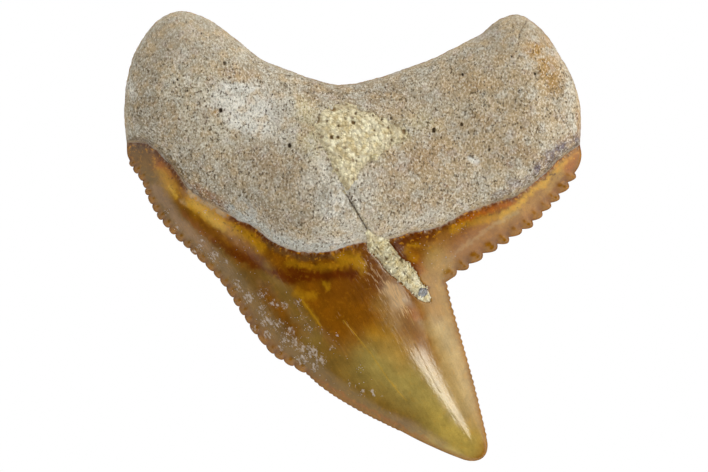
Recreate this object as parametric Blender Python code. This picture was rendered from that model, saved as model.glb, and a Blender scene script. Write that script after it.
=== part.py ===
"""A fossil tiger shark tooth, lying on its flat outer face with its bulging inner face up.

The tooth is one body, root and crown grown together. Cemented sand sits on it in two places: a
patch in the hollow above the middle of the root, and a fill in the split below it, which runs
from the root's lip on into the crown.

Tables are in millimetres and MM turns them into metres. +X runs along the jaw, from the long
straight shoulder of the crown to the notched one, +Y from the cusp's point to the root, and
+Z up through the tooth. The origin is the middle of the base.
"""

import math

import bmesh
import bpy
import numpy as np
from mathutils import Vector, noise
from mathutils.geometry import delaunay_2d_cdt

MM = 0.001

# Thickness of the tooth, from the flat outer face at height 0
CUTTING_EDGE_HEIGHT = 0.75
ROOT_MARGIN_HEIGHT = 2.1
ROOT_HEIGHT = 4.3
ROOT_MARGIN_ROUND = 3.0
ROOT_LIP_STEP = 0.35
ROOT_LIP_RISE = 0.15
ROOT_LIP_ROUND = 2.6
CROWN_SLOPE = 0.44
CROWN_FULLNESS = 22.0
CREASE_DEPTH = 0.22
CREASE_WIDTH = 0.8
CREASE_FADE = 1.5

# The root's margin, clockwise from the corner beside the long shoulder, seen from above
ROOT_EDGE = [
    (-14.9, 6.1), (-15.05, 7.6), (-15.0, 9.0), (-14.85, 10.3), (-14.4, 11.9), (-13.7, 13.15),
    (-12.7, 14.3), (-11.4, 14.8), (-10.1, 14.5), (-8.75, 13.75), (-7.4, 12.7), (-6.0, 11.6),
    (-4.1, 10.85), (-2.2, 10.2), (-0.7, 9.95), (1.1, 10.25), (3.1, 10.9), (5.1, 11.6),
    (7.0, 12.55), (8.4, 13.3), (9.7, 14.3), (10.9, 14.55), (12.0, 13.9), (12.9, 13.0),
    (13.6, 11.85), (14.3, 10.65), (14.8, 9.1), (15.0, 7.6), (14.95, 6.0),
]

# The crown's cutting edge, clockwise on from there, along the valleys between its teeth
HEEL_CORNER = [(14.95, 6.0), (15.05, 5.3), (14.9, 4.65), (14.6, 4.15)]
HEEL_EDGE = [
    (14.6, 4.15), (13.65, 2.9), (12.4, 1.55), (11.2, 0.5), (10.05, -0.2), (8.6, -1.1),
    (7.6, -1.85), (6.55, -2.45), (6.1, -3.05),
]
CUSP_SHORT_EDGE = [(6.1, -3.05), (6.45, -4.55), (7.45, -8.0), (8.15, -10.6), (8.78, -13.2)]
CUSP_POINT = [
    (8.78, -13.2), (8.87, -13.8), (8.75, -14.35), (8.4, -14.7), (7.85, -14.83), (7.3, -14.74),
]
CUSP_LONG_EDGE = [(7.3, -14.74), (6.05, -14.25), (4.4, -13.5), (3.1, -12.82)]
BLADE_EDGE = [(3.1, -12.82), (1.1, -11.85), (-0.85, -10.75), (-2.2, -9.8), (-3.1, -8.97)]
SHOULDER_EDGE = [
    (-3.1, -8.97), (-4.6, -8.1), (-5.4, -7.55), (-6.6, -6.05), (-7.5, -4.6), (-8.7, -2.85),
    (-10.3, -1.2), (-11.9, 0.35), (-12.9, 1.6), (-13.4, 2.55), (-13.75, 3.5),
]
SHOULDER_CORNER = [(-13.75, 3.5), (-14.4, 4.35), (-14.75, 4.95), (-14.87, 5.4), (-14.9, 6.1)]

# The cutting edge's teeth, at the start and at the end of each stretch: spacing and standout
HEEL_TEETH = ((0.82, 0.24), (1.07, 0.3))
SHORT_EDGE_TEETH = ((0.44, 0.09), (0.36, 0.05))
BLADE_TEETH = ((0.34, 0.04), (0.38, 0.06))
SHOULDER_TEETH = ((0.95, 0.22), (0.6, 0.15))

# A tooth's own points: share of the spacing, and share of the standout
SCALLOP = [(0.0, 0.0), (0.14, 0.78), (0.32, 1.0), (0.68, 0.62)]
BEAD = [(0.0, 0.0), (0.4, 1.0), (0.72, 0.8)]
FINE_TOOTH = [(0.0, 0.0), (0.6, 1.0)]
HEEL_RIDGE_HEIGHT = 0.12
HEEL_RIDGE_START = 0.25
HEEL_RIDGE_REACH = 1.3

# Where the root ends and the crown's enamel begins, on the upper and on the outer face
NECK_LINE = [
    (-14.9, 6.1), (-13.8, 6.1), (-12.85, 5.5), (-11.9, 4.45), (-11.2, 3.2), (-10.1, 2.2),
    (-9.1, 1.5), (-7.6, 0.65), (-6.4, 0.3), (-5.1, -0.7), (-3.5, -1.1), (-1.5, -1.05),
    (0.1, -0.55), (2.3, -0.25), (4.1, 0.25), (5.6, 0.55), (7.4, 1.5), (9.3, 2.2),
    (10.7, 2.6), (12.3, 3.8), (13.6, 5.0), (14.95, 6.0),
]
OUTER_NECK_LINE = [
    (-14.9, 6.1), (-12.2, 6.9), (-8.5, 7.3), (-4.5, 6.3), (-0.5, 5.7), (3.5, 6.2),
    (7.6, 7.2), (11.6, 7.0), (14.95, 6.0),
]

# The shallow crease between the flat blade of the long shoulder and the full middle
CREASE_LINE = [(-11.0, 2.4), (-8.6, 0.05), (-6.25, -2.1), (-3.0, -6.1), (0.45, -8.8), (3.1, -10.8)]

# The root's broad swellings and hollows: middle, reach along X and Y, height
ROOT_SWELLINGS = [
    (-1.8, 3.2, 6.0, 4.6, 2.0),
    (-10.6, 8.6, 3.6, 3.6, 0.55),
    (10.2, 9.4, 3.4, 3.2, 0.45),
    (-5.6, 7.4, 1.8, 1.4, -0.22),
    (6.0, 6.6, 2.0, 1.5, -0.2),
    (-9.6, 4.7, 1.5, 1.3, 0.18),
    (5.2, 3.4, 1.6, 1.2, 0.2),
    (13.4, 8.2, 1.1, 2.2, -0.5),
]
ROOT_RELIEF_HEIGHT = 0.09
ROOT_RELIEF_LENGTH = 1.7
ROOT_RELIEF_SEED = 3.7
ROOT_RELIEF_FADE = 1.2

# The blood-vessel openings in the root: middle, radius, depth
ROOT_OPENINGS = [
    (-4.15, 5.9, 0.3, 0.35),
    (-8.7, 8.2, 0.28, 0.28),
    (7.1, 7.3, 0.26, 0.3),
    (5.3, 6.95, 0.22, 0.25),
    (7.2, 10.55, 0.24, 0.25),
    (-8.4, 11.3, 0.24, 0.22),
]

# The two lots of sand, each an outline clockwise from its top: a fan, and a slanting run
SAND_PATCH_EDGE = [
    (-0.75, 8.75), (0.2, 8.75), (1.0, 8.3), (2.95, 7.45), (3.75, 7.0), (3.55, 6.2), (2.3, 5.5),
    (1.65, 4.95), (0.85, 4.45), (0.0, 3.2), (-0.45, 2.85), (-0.8, 3.0), (-1.35, 4.2),
    (-1.95, 5.35), (-2.5, 6.5), (-2.7, 7.7), (-1.95, 8.4),
]
SAND_FILL_EDGE = [
    (0.75, 0.55), (1.25, 0.2), (2.15, -0.4), (3.4, -1.6), (4.1, -2.25), (4.5, -3.05),
    (4.95, -3.9), (4.65, -4.25), (4.15, -4.05), (3.25, -3.3), (2.1, -2.3), (1.05, -1.05),
    (0.65, -0.35), (0.5, 0.2),
]
GROOVE_DEPTH = 0.95
GROOVE_GAP = 0.3
SAND_RIM_DROP = 0.1
SAND_RISE = 0.3
SAND_ROUND = 0.9
SAND_SIDE = 0.2
SAND_LUMP_HEIGHT = 0.14
SAND_LUMP_LENGTH = 0.6
SAND_LUMP_SEED = 8.2

# The outer face: its rounded edge, the root's step back from the enamel, and the root's arch
OUTER_EDGE_ROUND = 1.8
OUTER_ROOT_ROUND = 2.6
OUTER_STEP = 0.25
OUTER_STEP_RISE = 0.2
OUTER_STEP_WIDTH = 0.9
OUTER_ARCH = 0.4
OUTER_ARCH_PLACE = (-0.4, 9.0)
OUTER_ARCH_REACH = (4.5, 3.0)

# Mesh fineness: steps along lines, spacing of the fill, and rows of points beside a line
FINE_STEP = 0.05
CORNER_STEP = 0.35
PLAIN_EDGE_STEP = 0.6
GROOVE_STEP = 0.36
OUTER_NECK_STEP = 1.2
UPPER_GRID = 0.62
OUTER_GRID = 1.3
SAND_GRID = 0.32
UPPER_ROWS = (0.3, 0.8, 1.5)
LIP_ROWS = (0.16, 0.6, 1.2, -0.5)
OUTER_ROWS = (0.5, 1.8)
SAND_ROW = 0.22
SAND_EDGE_CLEAR = 0.33
ROW_CLEAR_SHARE = 0.92
ON_LINE = 1e-5
SAME_POINT = 1e-6
WELD = 1e-7

# Colour, roughness and metallic value
ROOT_BONE_LOOK = ((0.45, 0.38, 0.29), 0.85, 0.0)
ENAMEL_LOOK = ((0.36, 0.16, 0.025), 0.22, 0.0)
SAND_LOOK = ((0.68, 0.60, 0.36), 0.95, 0.0)


def clear_scene():
    """Remove every object."""
    for thing in list(bpy.data.objects):
        bpy.data.objects.remove(thing, do_unlink=True)


def material(name, look):
    """A plain surface of one colour."""
    made = bpy.data.materials.new(name)
    made.use_nodes = True
    shader = made.node_tree.nodes["Principled BSDF"]
    colour, roughness, metallic = look
    shader.inputs["Base Color"].default_value = (*colour, 1.0)
    shader.inputs["Roughness"].default_value = roughness
    shader.inputs["Metallic"].default_value = metallic
    made.diffuse_color = (*colour, 1.0)
    return made


def smooth_curve(points, step, loop=False):
    """A smooth curve through the points, read off about every step. A loop ends where it began."""
    fixed = np.array(points, float)
    if loop:
        chain = np.vstack([fixed[-1], fixed, fixed[:2]])
    else:
        chain = np.vstack([2 * fixed[0] - fixed[1], fixed, 2 * fixed[-1] - fixed[-2]])
    dense = []
    for a, b, c, d in zip(chain, chain[1:], chain[2:], chain[3:]):
        for t in np.linspace(0, 1, 24, endpoint=False):
            dense.append(
                0.5 * (2 * b + (c - a) * t + (2 * a - 5 * b + 4 * c - d) * t**2
                       + (3 * b - a - 3 * c + d) * t**3)
            )
    dense = np.array(dense + [chain[-2]])
    count = max(2, round(length_of(dense) / step) + 1)
    return at_lengths(dense, np.linspace(0, 1, count))


def length_of(line):
    """Length of a line of points."""
    return np.hypot(*np.diff(line, axis=0).T).sum()


def at_lengths(line, shares):
    """The line's points at these shares of its length."""
    run = np.append(0, np.cumsum(np.hypot(*np.diff(line, axis=0).T)))
    where = np.array(shares) * run[-1]
    return np.column_stack([np.interp(where, run, column) for column in line.T])


def outward_of(line):
    """Unit vectors to the left of a line that runs clockwise round the tooth."""
    along = np.gradient(line, axis=0)
    along /= np.hypot(*along.T)[:, None]
    return np.column_stack([-along[:, 1], along[:, 0]])


def tooth_starts(length, teeth):
    """Shares of the length where the teeth start, and where the last one ends."""
    (first, _), (last, _) = teeth
    count = round(2 * length / (first + last))
    widths = np.linspace(first, last, count)
    return np.append(0, np.cumsum(widths)) / widths.sum()


def toothed_edge(points, teeth, outline):
    """A cutting edge: valleys on the curve, and a tooth standing out between each two."""
    curve = smooth_curve(points, FINE_STEP)
    starts = tooth_starts(length_of(curve), teeth)
    (_, first), (_, last) = teeth
    shares = []
    stands = []
    for start, end in zip(starts, starts[1:]):
        for place, stand in outline:
            shares.append(start + (end - start) * place)
            stands.append(stand * (first + (last - first) * start))
    shares.append(1.0)
    stands.append(0.0)
    base = at_lengths(curve, shares)
    return base + outward_of(base) * np.array(stands)[:, None]


def crown_edges():
    """The short-side and the long-side cutting edge, both clockwise, teeth included."""
    point = smooth_curve(CUSP_POINT, CORNER_STEP)
    middle = len(point) // 2
    short_side = [
        smooth_curve(HEEL_CORNER, CORNER_STEP),
        toothed_edge(HEEL_EDGE, HEEL_TEETH, SCALLOP),
        toothed_edge(CUSP_SHORT_EDGE, SHORT_EDGE_TEETH, FINE_TOOTH),
        point[: middle + 1],
    ]
    long_side = [
        point[middle:],
        smooth_curve(CUSP_LONG_EDGE, PLAIN_EDGE_STEP),
        toothed_edge(BLADE_EDGE, BLADE_TEETH, FINE_TOOTH),
        toothed_edge(SHOULDER_EDGE, SHOULDER_TEETH, BEAD),
        smooth_curve(SHOULDER_CORNER, CORNER_STEP),
    ]
    return joined(short_side), joined(long_side)


def joined(lines):
    """One line from lines that each start where the last one ended."""
    return np.vstack([line[:-1] for line in lines[:-1]] + [lines[-1]])


def closed(loop):
    """A loop with its first point again at its end."""
    return np.vstack([loop, loop[:1]])


def distance_to(places, line):
    """Distance from each place to a line of points."""
    start, end = line[:-1], line[1:]
    along = end - start
    reach = (along**2).sum(1)
    offset = places[:, None, :] - start[None]
    share = np.clip((offset * along).sum(2) / reach, 0, 1)
    nearest = offset - share[..., None] * along
    found = np.sqrt((nearest**2).sum(2)).min(1)
    return np.where(found < ON_LINE, 0, found)


def inside(places, loop):
    """Whether each place is inside a closed loop of points."""
    x, y = places[:, 0:1], places[:, 1:2]
    ax, ay = loop[:, 0], loop[:, 1]
    bx, by = np.roll(ax, -1), np.roll(ay, -1)
    level = by == ay
    across = ax + (y - ay) * (bx - ax) / np.where(level, 1, by - ay)
    crossing = ((ay > y) != (by > y)) & (x < across)
    return crossing.sum(1) % 2 == 1


def quarter_round(share):
    """Height of a rounded edge, 0 at the edge and 1 from share 1 on."""
    return np.sqrt(1 - (1 - np.clip(share, 0, 1)) ** 2)


def ease(share):
    """A smooth step from 0 to 1."""
    share = np.clip(share, 0, 1)
    return share * share * (3 - 2 * share)


def relief(places, length, seed):
    """Smooth lumps and hollows of about this length, from -1 to 1."""
    return np.array([noise.noise(Vector((x / length, y / length, seed))) for x, y in places])


def sand_loop(edge, margin):
    """The closed outline of one lot of sand, widened all round by a margin."""
    ring = smooth_curve(edge, GROOVE_STEP, loop=True)
    return (ring + outward_of(ring) * margin)[:-1]


class ToothShape:
    """The outline of the tooth, and the heights of its two faces over any place in plan."""

    def __init__(self):
        self.root_edge = smooth_curve(ROOT_EDGE, PLAIN_EDGE_STEP)
        self.short_side, self.long_side = crown_edges()
        self.neck = smooth_curve(NECK_LINE, PLAIN_EDGE_STEP)
        self.outer_neck = smooth_curve(OUTER_NECK_LINE, OUTER_NECK_STEP)
        self.crease = smooth_curve(CREASE_LINE, PLAIN_EDGE_STEP)
        self.heel = smooth_curve(HEEL_EDGE, FINE_STEP)
        self.patch = sand_loop(SAND_PATCH_EDGE, 0)
        self.fill = sand_loop(SAND_FILL_EDGE, 0)
        self.grooves = [
            sand_loop(SAND_PATCH_EDGE, GROOVE_GAP), sand_loop(SAND_FILL_EDGE, GROOVE_GAP),
        ]
        self.ring = joined([self.root_edge, self.short_side, self.long_side])
        self.outline = self.ring[:-1]
        self.root_loop = np.vstack([self.root_edge, self.neck[::-1]])
        self.outer_root_loop = np.vstack([self.root_edge, self.outer_neck[::-1]])

    def rim(self, places):
        """Height of the rim where the two faces meet, thicker round the root."""
        from_crown = np.minimum(
            distance_to(places, self.short_side), distance_to(places, self.long_side)
        )
        blend = ease(from_crown / ROOT_MARGIN_ROUND)
        return CUTTING_EDGE_HEIGHT + (ROOT_MARGIN_HEIGHT - CUTTING_EDGE_HEIGHT) * blend

    def crown_top(self, places):
        """The enamel's domed upper face, carried on beneath the root."""
        to_short = distance_to(places, self.short_side)
        to_long = distance_to(places, self.long_side)
        fullness = 2 * to_short * to_long / np.maximum(to_short + to_long, ON_LINE)
        height = CROWN_SLOPE * fullness / (1 + fullness / CROWN_FULLNESS)
        in_crease = np.exp(-((distance_to(places, self.crease) / CREASE_WIDTH) ** 2))
        height -= CREASE_DEPTH * in_crease * ease(to_long / CREASE_FADE)
        return CUTTING_EDGE_HEIGHT + height + self.heel_ridges(places)

    def heel_ridges(self, places):
        """Low ridges that run from the heel's teeth up the crown."""
        gap = np.hypot(*(places[:, None, :] - self.heel[None]).transpose(2, 0, 1))
        starts = tooth_starts(length_of(self.heel), HEEL_TEETH)
        share = gap.argmin(1) / (len(self.heel) - 1)
        number = np.interp(share, starts, np.arange(len(starts)))
        away = gap.min(1)
        fade = ease(away / HEEL_RIDGE_START) * (1 - ease(away / HEEL_RIDGE_REACH))
        return HEEL_RIDGE_HEIGHT * fade * -np.cos(2 * math.pi * number)

    def root_top(self, places, crown):
        """The root's swollen upper face, rounded at its margin and at its lip on the enamel."""
        height = np.full(len(places), ROOT_HEIGHT)
        for x, y, reach_x, reach_y, rise in ROOT_SWELLINGS:
            away = ((places[:, 0] - x) / reach_x) ** 2 + ((places[:, 1] - y) / reach_y) ** 2
            height += rise * np.exp(-away)
        rim = self.rim(places)
        from_margin = distance_to(places, self.root_edge)
        from_neck = distance_to(places, self.neck)
        step = ease(from_margin / ROOT_MARGIN_ROUND) * ease(from_neck / ROOT_LIP_RISE)
        lip = crown + ROOT_LIP_STEP * step
        at_margin = quarter_round(from_margin / ROOT_MARGIN_ROUND)
        at_neck = quarter_round(from_neck / ROOT_LIP_ROUND)
        surface = np.minimum(
            rim + (height - rim) * at_margin,
            lip + np.maximum(height - lip, 0) * at_neck,
        )
        fade = ease(np.minimum(from_margin, from_neck) / ROOT_RELIEF_FADE)
        lumps = relief(places, ROOT_RELIEF_LENGTH, ROOT_RELIEF_SEED)
        surface += ROOT_RELIEF_HEIGHT * lumps * fade
        for x, y, radius, depth in ROOT_OPENINGS:
            away = np.hypot(places[:, 0] - x, places[:, 1] - y) / radius
            surface -= depth * (1 - ease(away))
        return surface

    def upper_face(self, places):
        """Height of the upper face as it would be with no bed for the sand in it."""
        crown = self.crown_top(places)
        in_root = inside(places, self.root_loop)
        in_root &= distance_to(places, self.neck) > 0
        surface = np.where(in_root, self.root_top(places, crown), crown)
        on_rim = distance_to(places, self.ring) == 0
        return np.where(on_rim, self.rim(places), surface)

    def grooved_face(self, places):
        """Height of the upper face, with the two beds that hold the sand."""
        surface = self.upper_face(places)
        for groove in self.grooves:
            into = np.where(inside(places, groove), distance_to(places, closed(groove)), 0)
            surface -= GROOVE_DEPTH * ease(into / GROOVE_GAP)
        return surface

    def outer_face(self, places):
        """Height of the flat outer face that the tooth lies on."""
        from_rim = distance_to(places, self.ring)
        in_root = inside(places, self.outer_root_loop)
        rim = self.rim(places)
        round_in = np.where(in_root, OUTER_ROOT_ROUND, OUTER_EDGE_ROUND)
        surface = rim * (1 - quarter_round(from_rim / round_in))
        from_neck = distance_to(places, self.outer_neck)
        step = ease(from_neck / OUTER_STEP_RISE) * (1 - ease(from_neck / OUTER_STEP_WIDTH))
        away = (places - OUTER_ARCH_PLACE) / OUTER_ARCH_REACH
        arch = OUTER_ARCH * (1 - ease(np.hypot(*away.T)))
        hollow = (OUTER_STEP * step + arch) * ease(from_rim / round_in)
        return np.where(in_root, np.maximum(surface, hollow), surface)


def row_inside(loop, distance):
    """A row of points this far inside a clockwise loop."""
    moved = loop - outward_of(loop) * distance
    moved = moved[inside(moved, loop)]
    return moved[distance_to(moved, closed(loop)) > ROW_CLEAR_SHARE * distance]


def grid_points(loop, spacing, margin, avoid, clearance):
    """A triangular grid that fills a loop, clear of its edge and of other lines."""
    low, high = loop.min(0), loop.max(0)
    rows = np.arange(low[1], high[1], spacing * math.sqrt(3) / 2)
    grid = []
    for number, y in enumerate(rows):
        shift = spacing / 2 * (number % 2)
        for x in np.arange(low[0] + shift, high[0], spacing):
            grid.append((x, y))
    grid = np.array(grid)
    grid = grid[inside(grid, loop)]
    return clear_of(clear_of(grid, [closed(loop)], margin), avoid, clearance)


def clear_of(points, lines, clearance):
    """The points that are further than this from every line."""
    for line in lines:
        points = points[distance_to(points, line) > clearance]
    return points


def thinned(points, spacing):
    """The points with any left out that crowd one already kept."""
    kept = []
    for point in points:
        if all(math.dist(point, other) > spacing for other in kept):
            kept.append(point)
    return np.array(kept)


def triangulated(outline, lines, points):
    """Triangles over the outline, with no edge but the outline's own from rim to rim.

    Such an edge would lie in both faces and pinch the body, so its middle becomes a point.
    """
    count = len(outline)
    while True:
        places = [Vector(p) for p in outline]
        edges = [(i, (i + 1) % count) for i in range(count)]
        for line in lines:
            first = len(places)
            places += [Vector(p) for p in line]
            edges += [(first + i, first + i + 1) for i in range(len(line) - 1)]
        places += [Vector(p) for p in points]
        flat, drawn, faces, sources, *_ = delaunay_2d_cdt(places, edges, [], 1, SAME_POINT)
        rim = [min(source, default=count) for source in sources]
        chords = []
        for a, b in drawn:
            if rim[a] < count and rim[b] < count and abs(rim[a] - rim[b]) not in (1, count - 1):
                chords.append((flat[a] + flat[b]) / 2)
        if not chords:
            return np.array([tuple(p) for p in flat]), faces
        points = np.vstack([points, [tuple(p) for p in chords]])


def add_face(mesh, outline, lines, points, height, upward):
    """Triangulate one face over the outline, and lift it to its height."""
    flat, faces = triangulated(outline, lines, points)
    heights = height(flat)
    corners = [mesh.verts.new((x * MM, y * MM, z * MM)) for (x, y), z in zip(flat, heights)]
    for face in faces:
        turn = face if upward else face[::-1]
        mesh.faces.new([corners[i] for i in turn])


def solid(name, add_faces, looks, choose):
    """One closed body from two faces that share their rim, dressed face by face."""
    mesh = bmesh.new()
    add_faces(mesh)
    bmesh.ops.remove_doubles(mesh, verts=mesh.verts, dist=WELD)
    bmesh.ops.dissolve_degenerate(mesh, edges=mesh.edges, dist=WELD)
    middles = np.array([tuple(face.calc_center_median()) for face in mesh.faces]) / MM
    for face, choice in zip(mesh.faces, choose(middles)):
        face.material_index = int(choice)
        face.smooth = True
    data = bpy.data.meshes.new(name)
    mesh.to_mesh(data)
    mesh.free()
    for look in looks:
        data.materials.append(look)
    made = bpy.data.objects.new(name, data)
    bpy.context.scene.collection.objects.link(made)
    return made


def opening_points():
    """The middle of each opening in the root, and six points round its edge."""
    points = []
    for x, y, radius, _ in ROOT_OPENINGS:
        points.append((x, y))
        for turn in np.arange(6) * math.pi / 3:
            points.append((x + radius * math.cos(turn), y + radius * math.sin(turn)))
    return np.array(points)


def build_tooth(shape):
    """The tooth, root and crown in one, with the empty beds of the sand."""
    beds = [shape.patch, shape.fill, *shape.grooves]
    lines = [shape.neck] + [closed(bed) for bed in beds]
    neck_out = outward_of(shape.neck)
    rows = [shape.neck + neck_out * distance for distance in LIP_ROWS]
    rows += [row_inside(shape.outline, distance) for distance in UPPER_ROWS]
    rows = np.vstack(rows)
    rows = clear_of(rows[inside(rows, shape.outline)], lines, LIP_ROWS[0] * ROW_CLEAR_SHARE)
    rows = clear_of(rows, [shape.ring], UPPER_ROWS[0] * ROW_CLEAR_SHARE)
    within = UPPER_ROWS[-1] + UPPER_GRID / 3
    fill = grid_points(shape.outline, UPPER_GRID, within, lines, UPPER_GRID / 2)
    upper = thinned(np.vstack([opening_points(), rows, fill]), UPPER_GRID / 2)
    outer_rows = np.vstack([row_inside(shape.outline, distance) for distance in OUTER_ROWS])
    outer_fill = grid_points(shape.outline, OUTER_GRID, OUTER_ROWS[-1] + OUTER_GRID / 2, [], 0)
    outer = thinned(np.vstack([outer_rows, outer_fill]), OUTER_GRID / 2)
    outer = clear_of(outer, [shape.outer_neck], OUTER_GRID / 4)

    def add_faces(mesh):
        add_face(mesh, shape.outline, lines, upper, shape.grooved_face, True)
        add_face(mesh, shape.outline, [shape.outer_neck], outer, shape.outer_face, False)

    def enamel_or_bone(middles):
        plan = middles[:, :2]
        on_top = middles[:, 2] > shape.rim(plan)
        upper_bone = inside(plan, shape.root_loop)
        outer_bone = inside(plan, shape.outer_root_loop)
        return np.where(on_top, upper_bone, outer_bone)

    looks = [material("enamel", ENAMEL_LOOK), material("root_bone", ROOT_BONE_LOOK)]
    return solid("tooth", add_faces, looks, enamel_or_bone)


def build_sand(shape, name, outline, look):
    """One lot of cemented sand, which fills its bed and stands a little proud of it."""
    ring = closed(outline)
    fill = grid_points(outline, SAND_GRID, SAND_EDGE_CLEAR, [], 0)
    points = thinned(np.vstack([row_inside(outline, SAND_ROW), fill]), SAND_ROW)

    def top(places):
        into = distance_to(places, ring)
        lumps = relief(places, SAND_LUMP_LENGTH, SAND_LUMP_SEED) * ease(into / SAND_SIDE)
        crust = SAND_RISE * quarter_round(into / SAND_ROUND) + SAND_LUMP_HEIGHT * lumps
        return shape.upper_face(places) - SAND_RIM_DROP + crust

    def bottom(places):
        into = distance_to(places, ring)
        depth = GROOVE_DEPTH - GROOVE_GAP - SAND_RIM_DROP
        return shape.upper_face(places) - SAND_RIM_DROP - depth * ease(into / SAND_SIDE)

    def add_faces(mesh):
        add_face(mesh, outline, [], points, top, True)
        add_face(mesh, outline, [], points, bottom, False)

    return solid(name, add_faces, [look], lambda middles: np.zeros(len(middles)))


clear_scene()
tooth_shape = ToothShape()
cemented_sand = material("cemented_sand", SAND_LOOK)
build_tooth(tooth_shape)
build_sand(tooth_shape, "sand_patch", tooth_shape.patch, cemented_sand)
build_sand(tooth_shape, "sand_fill", tooth_shape.fill, cemented_sand)
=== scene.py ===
"""The dressed look of a fossil tiger shark tooth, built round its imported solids.

The tooth lies on its flat outer face, with the bulging inner face up. Its bony root and glossy
crown are one closed piece. Cemented sand lies on it as a patch and as a fill, each a rough crust
with loose grains bedded in it, and pale mineral crumbs cling to the crown.

Lengths in tables and fields are in millimetres, and MM turns them into metres.
"""

import logging
import math
from collections.abc import Iterable, Iterator, Sequence
from dataclasses import dataclass, field
from enum import Enum
from functools import cached_property, reduce

import bmesh
import bpy
import numpy as np
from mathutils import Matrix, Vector, noise
from mathutils.geometry import delaunay_2d_cdt
from mathutils.kdtree import KDTree


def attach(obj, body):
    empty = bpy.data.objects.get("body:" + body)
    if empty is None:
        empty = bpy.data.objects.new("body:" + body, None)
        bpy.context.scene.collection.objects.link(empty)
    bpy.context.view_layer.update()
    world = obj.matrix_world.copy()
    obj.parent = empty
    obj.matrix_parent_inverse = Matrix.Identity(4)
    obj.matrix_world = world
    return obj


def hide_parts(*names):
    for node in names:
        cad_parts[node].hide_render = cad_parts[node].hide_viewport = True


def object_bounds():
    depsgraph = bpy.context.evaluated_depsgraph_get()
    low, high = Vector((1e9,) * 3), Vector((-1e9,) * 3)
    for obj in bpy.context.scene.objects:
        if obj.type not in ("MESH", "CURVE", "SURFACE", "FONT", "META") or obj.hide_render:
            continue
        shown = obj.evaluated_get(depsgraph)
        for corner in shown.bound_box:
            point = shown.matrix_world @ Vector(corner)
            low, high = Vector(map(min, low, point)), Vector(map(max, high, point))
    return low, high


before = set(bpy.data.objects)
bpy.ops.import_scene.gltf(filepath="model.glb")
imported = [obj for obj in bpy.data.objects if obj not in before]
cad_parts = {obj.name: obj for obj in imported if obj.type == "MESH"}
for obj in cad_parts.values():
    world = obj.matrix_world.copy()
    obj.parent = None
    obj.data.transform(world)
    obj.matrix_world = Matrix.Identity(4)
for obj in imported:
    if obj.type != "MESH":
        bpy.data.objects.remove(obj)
CAD_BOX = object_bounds()

log = logging.getLogger("tooth")

MM = 0.001

# Steps along finely drawn lines, and what counts as being on a line
FINE_STEP = 0.05
ON_LINE = 1e-4

# How many places are tested against a loop at a time
BLOCK = 400

Point = tuple[float, float]
Colour = tuple[float, float, float]
Spot = tuple[float, float, float]
Teeth = tuple[Point, Point]
Sheet = tuple[np.ndarray, np.ndarray, list[list[int]]]

# The tooth's outline

ROOT_EDGE = [
    (-14.9, 6.1), (-15.05, 7.6), (-15.0, 9.0), (-14.85, 10.3), (-14.4, 11.9), (-13.7, 13.15),
    (-12.7, 14.3), (-11.4, 14.8), (-10.1, 14.5), (-8.75, 13.75), (-7.4, 12.7), (-6.0, 11.6),
    (-4.1, 10.85), (-2.2, 10.2), (-0.7, 9.95), (1.1, 10.25), (3.1, 10.9), (5.1, 11.6),
    (7.0, 12.55), (8.4, 13.3), (9.7, 14.3), (10.9, 14.55), (12.0, 13.9), (12.9, 13.0),
    (13.6, 11.85), (14.3, 10.65), (14.8, 9.1), (15.0, 7.6), (14.95, 6.0),
]
HEEL_CORNER = [(14.95, 6.0), (15.05, 5.3), (14.9, 4.65), (14.6, 4.15)]
HEEL_EDGE = [
    (14.6, 4.15), (13.65, 2.9), (12.4, 1.55), (11.2, 0.5), (10.05, -0.2), (8.6, -1.1),
    (7.6, -1.85), (6.55, -2.45), (6.1, -3.05),
]
CUSP_SHORT_EDGE = [(6.1, -3.05), (6.45, -4.55), (7.45, -8.0), (8.15, -10.6), (8.78, -13.2)]
CUSP_POINT = [
    (8.78, -13.2), (8.87, -13.8), (8.75, -14.35), (8.4, -14.7), (7.85, -14.83), (7.3, -14.74),
]
CUSP_LONG_EDGE = [(7.3, -14.74), (6.05, -14.25), (4.4, -13.5), (3.1, -12.82)]
BLADE_EDGE = [(3.1, -12.82), (1.1, -11.85), (-0.85, -10.75), (-2.2, -9.8), (-3.1, -8.97)]
SHOULDER_EDGE = [
    (-3.1, -8.97), (-4.6, -8.1), (-5.4, -7.55), (-6.6, -6.05), (-7.5, -4.6), (-8.7, -2.85),
    (-10.3, -1.2), (-11.9, 0.35), (-12.9, 1.6), (-13.4, 2.55), (-13.75, 3.5), (-14.3, 4.35),
    (-14.7, 4.95),
]
SHOULDER_CORNER = [(-14.7, 4.95), (-14.87, 5.4), (-14.9, 6.1)]

# The cutting edge's teeth, at the start and at the end of each stretch: spacing and standout
HEEL_TEETH = ((0.82, 0.24), (1.07, 0.3))
SHORT_EDGE_TEETH = ((0.44, 0.09), (0.36, 0.05))
BLADE_TEETH = ((0.34, 0.04), (0.38, 0.06))
SHOULDER_TEETH = ((0.86, 0.13), (0.52, 0.16))
UNEVEN_SPACING = 0.16
UNEVEN_STAND = 0.22

# A tooth's own points: share of the spacing, and share of the standout
SCALLOP = [
    (0.0, 0.0), (0.05, 0.42), (0.14, 0.78), (0.23, 0.94), (0.32, 1.0), (0.44, 0.93),
    (0.56, 0.8), (0.68, 0.62), (0.8, 0.4), (0.91, 0.17),
]
BEAD = [
    (0.0, 0.0), (0.03, 0.3), (0.1, 0.62), (0.22, 0.87), (0.38, 1.0), (0.54, 1.0), (0.7, 0.9),
    (0.84, 0.66), (0.94, 0.3),
]
FINE_TOOTH = [(0.0, 0.0), (0.3, 0.6), (0.6, 1.0), (0.82, 0.5)]

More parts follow.
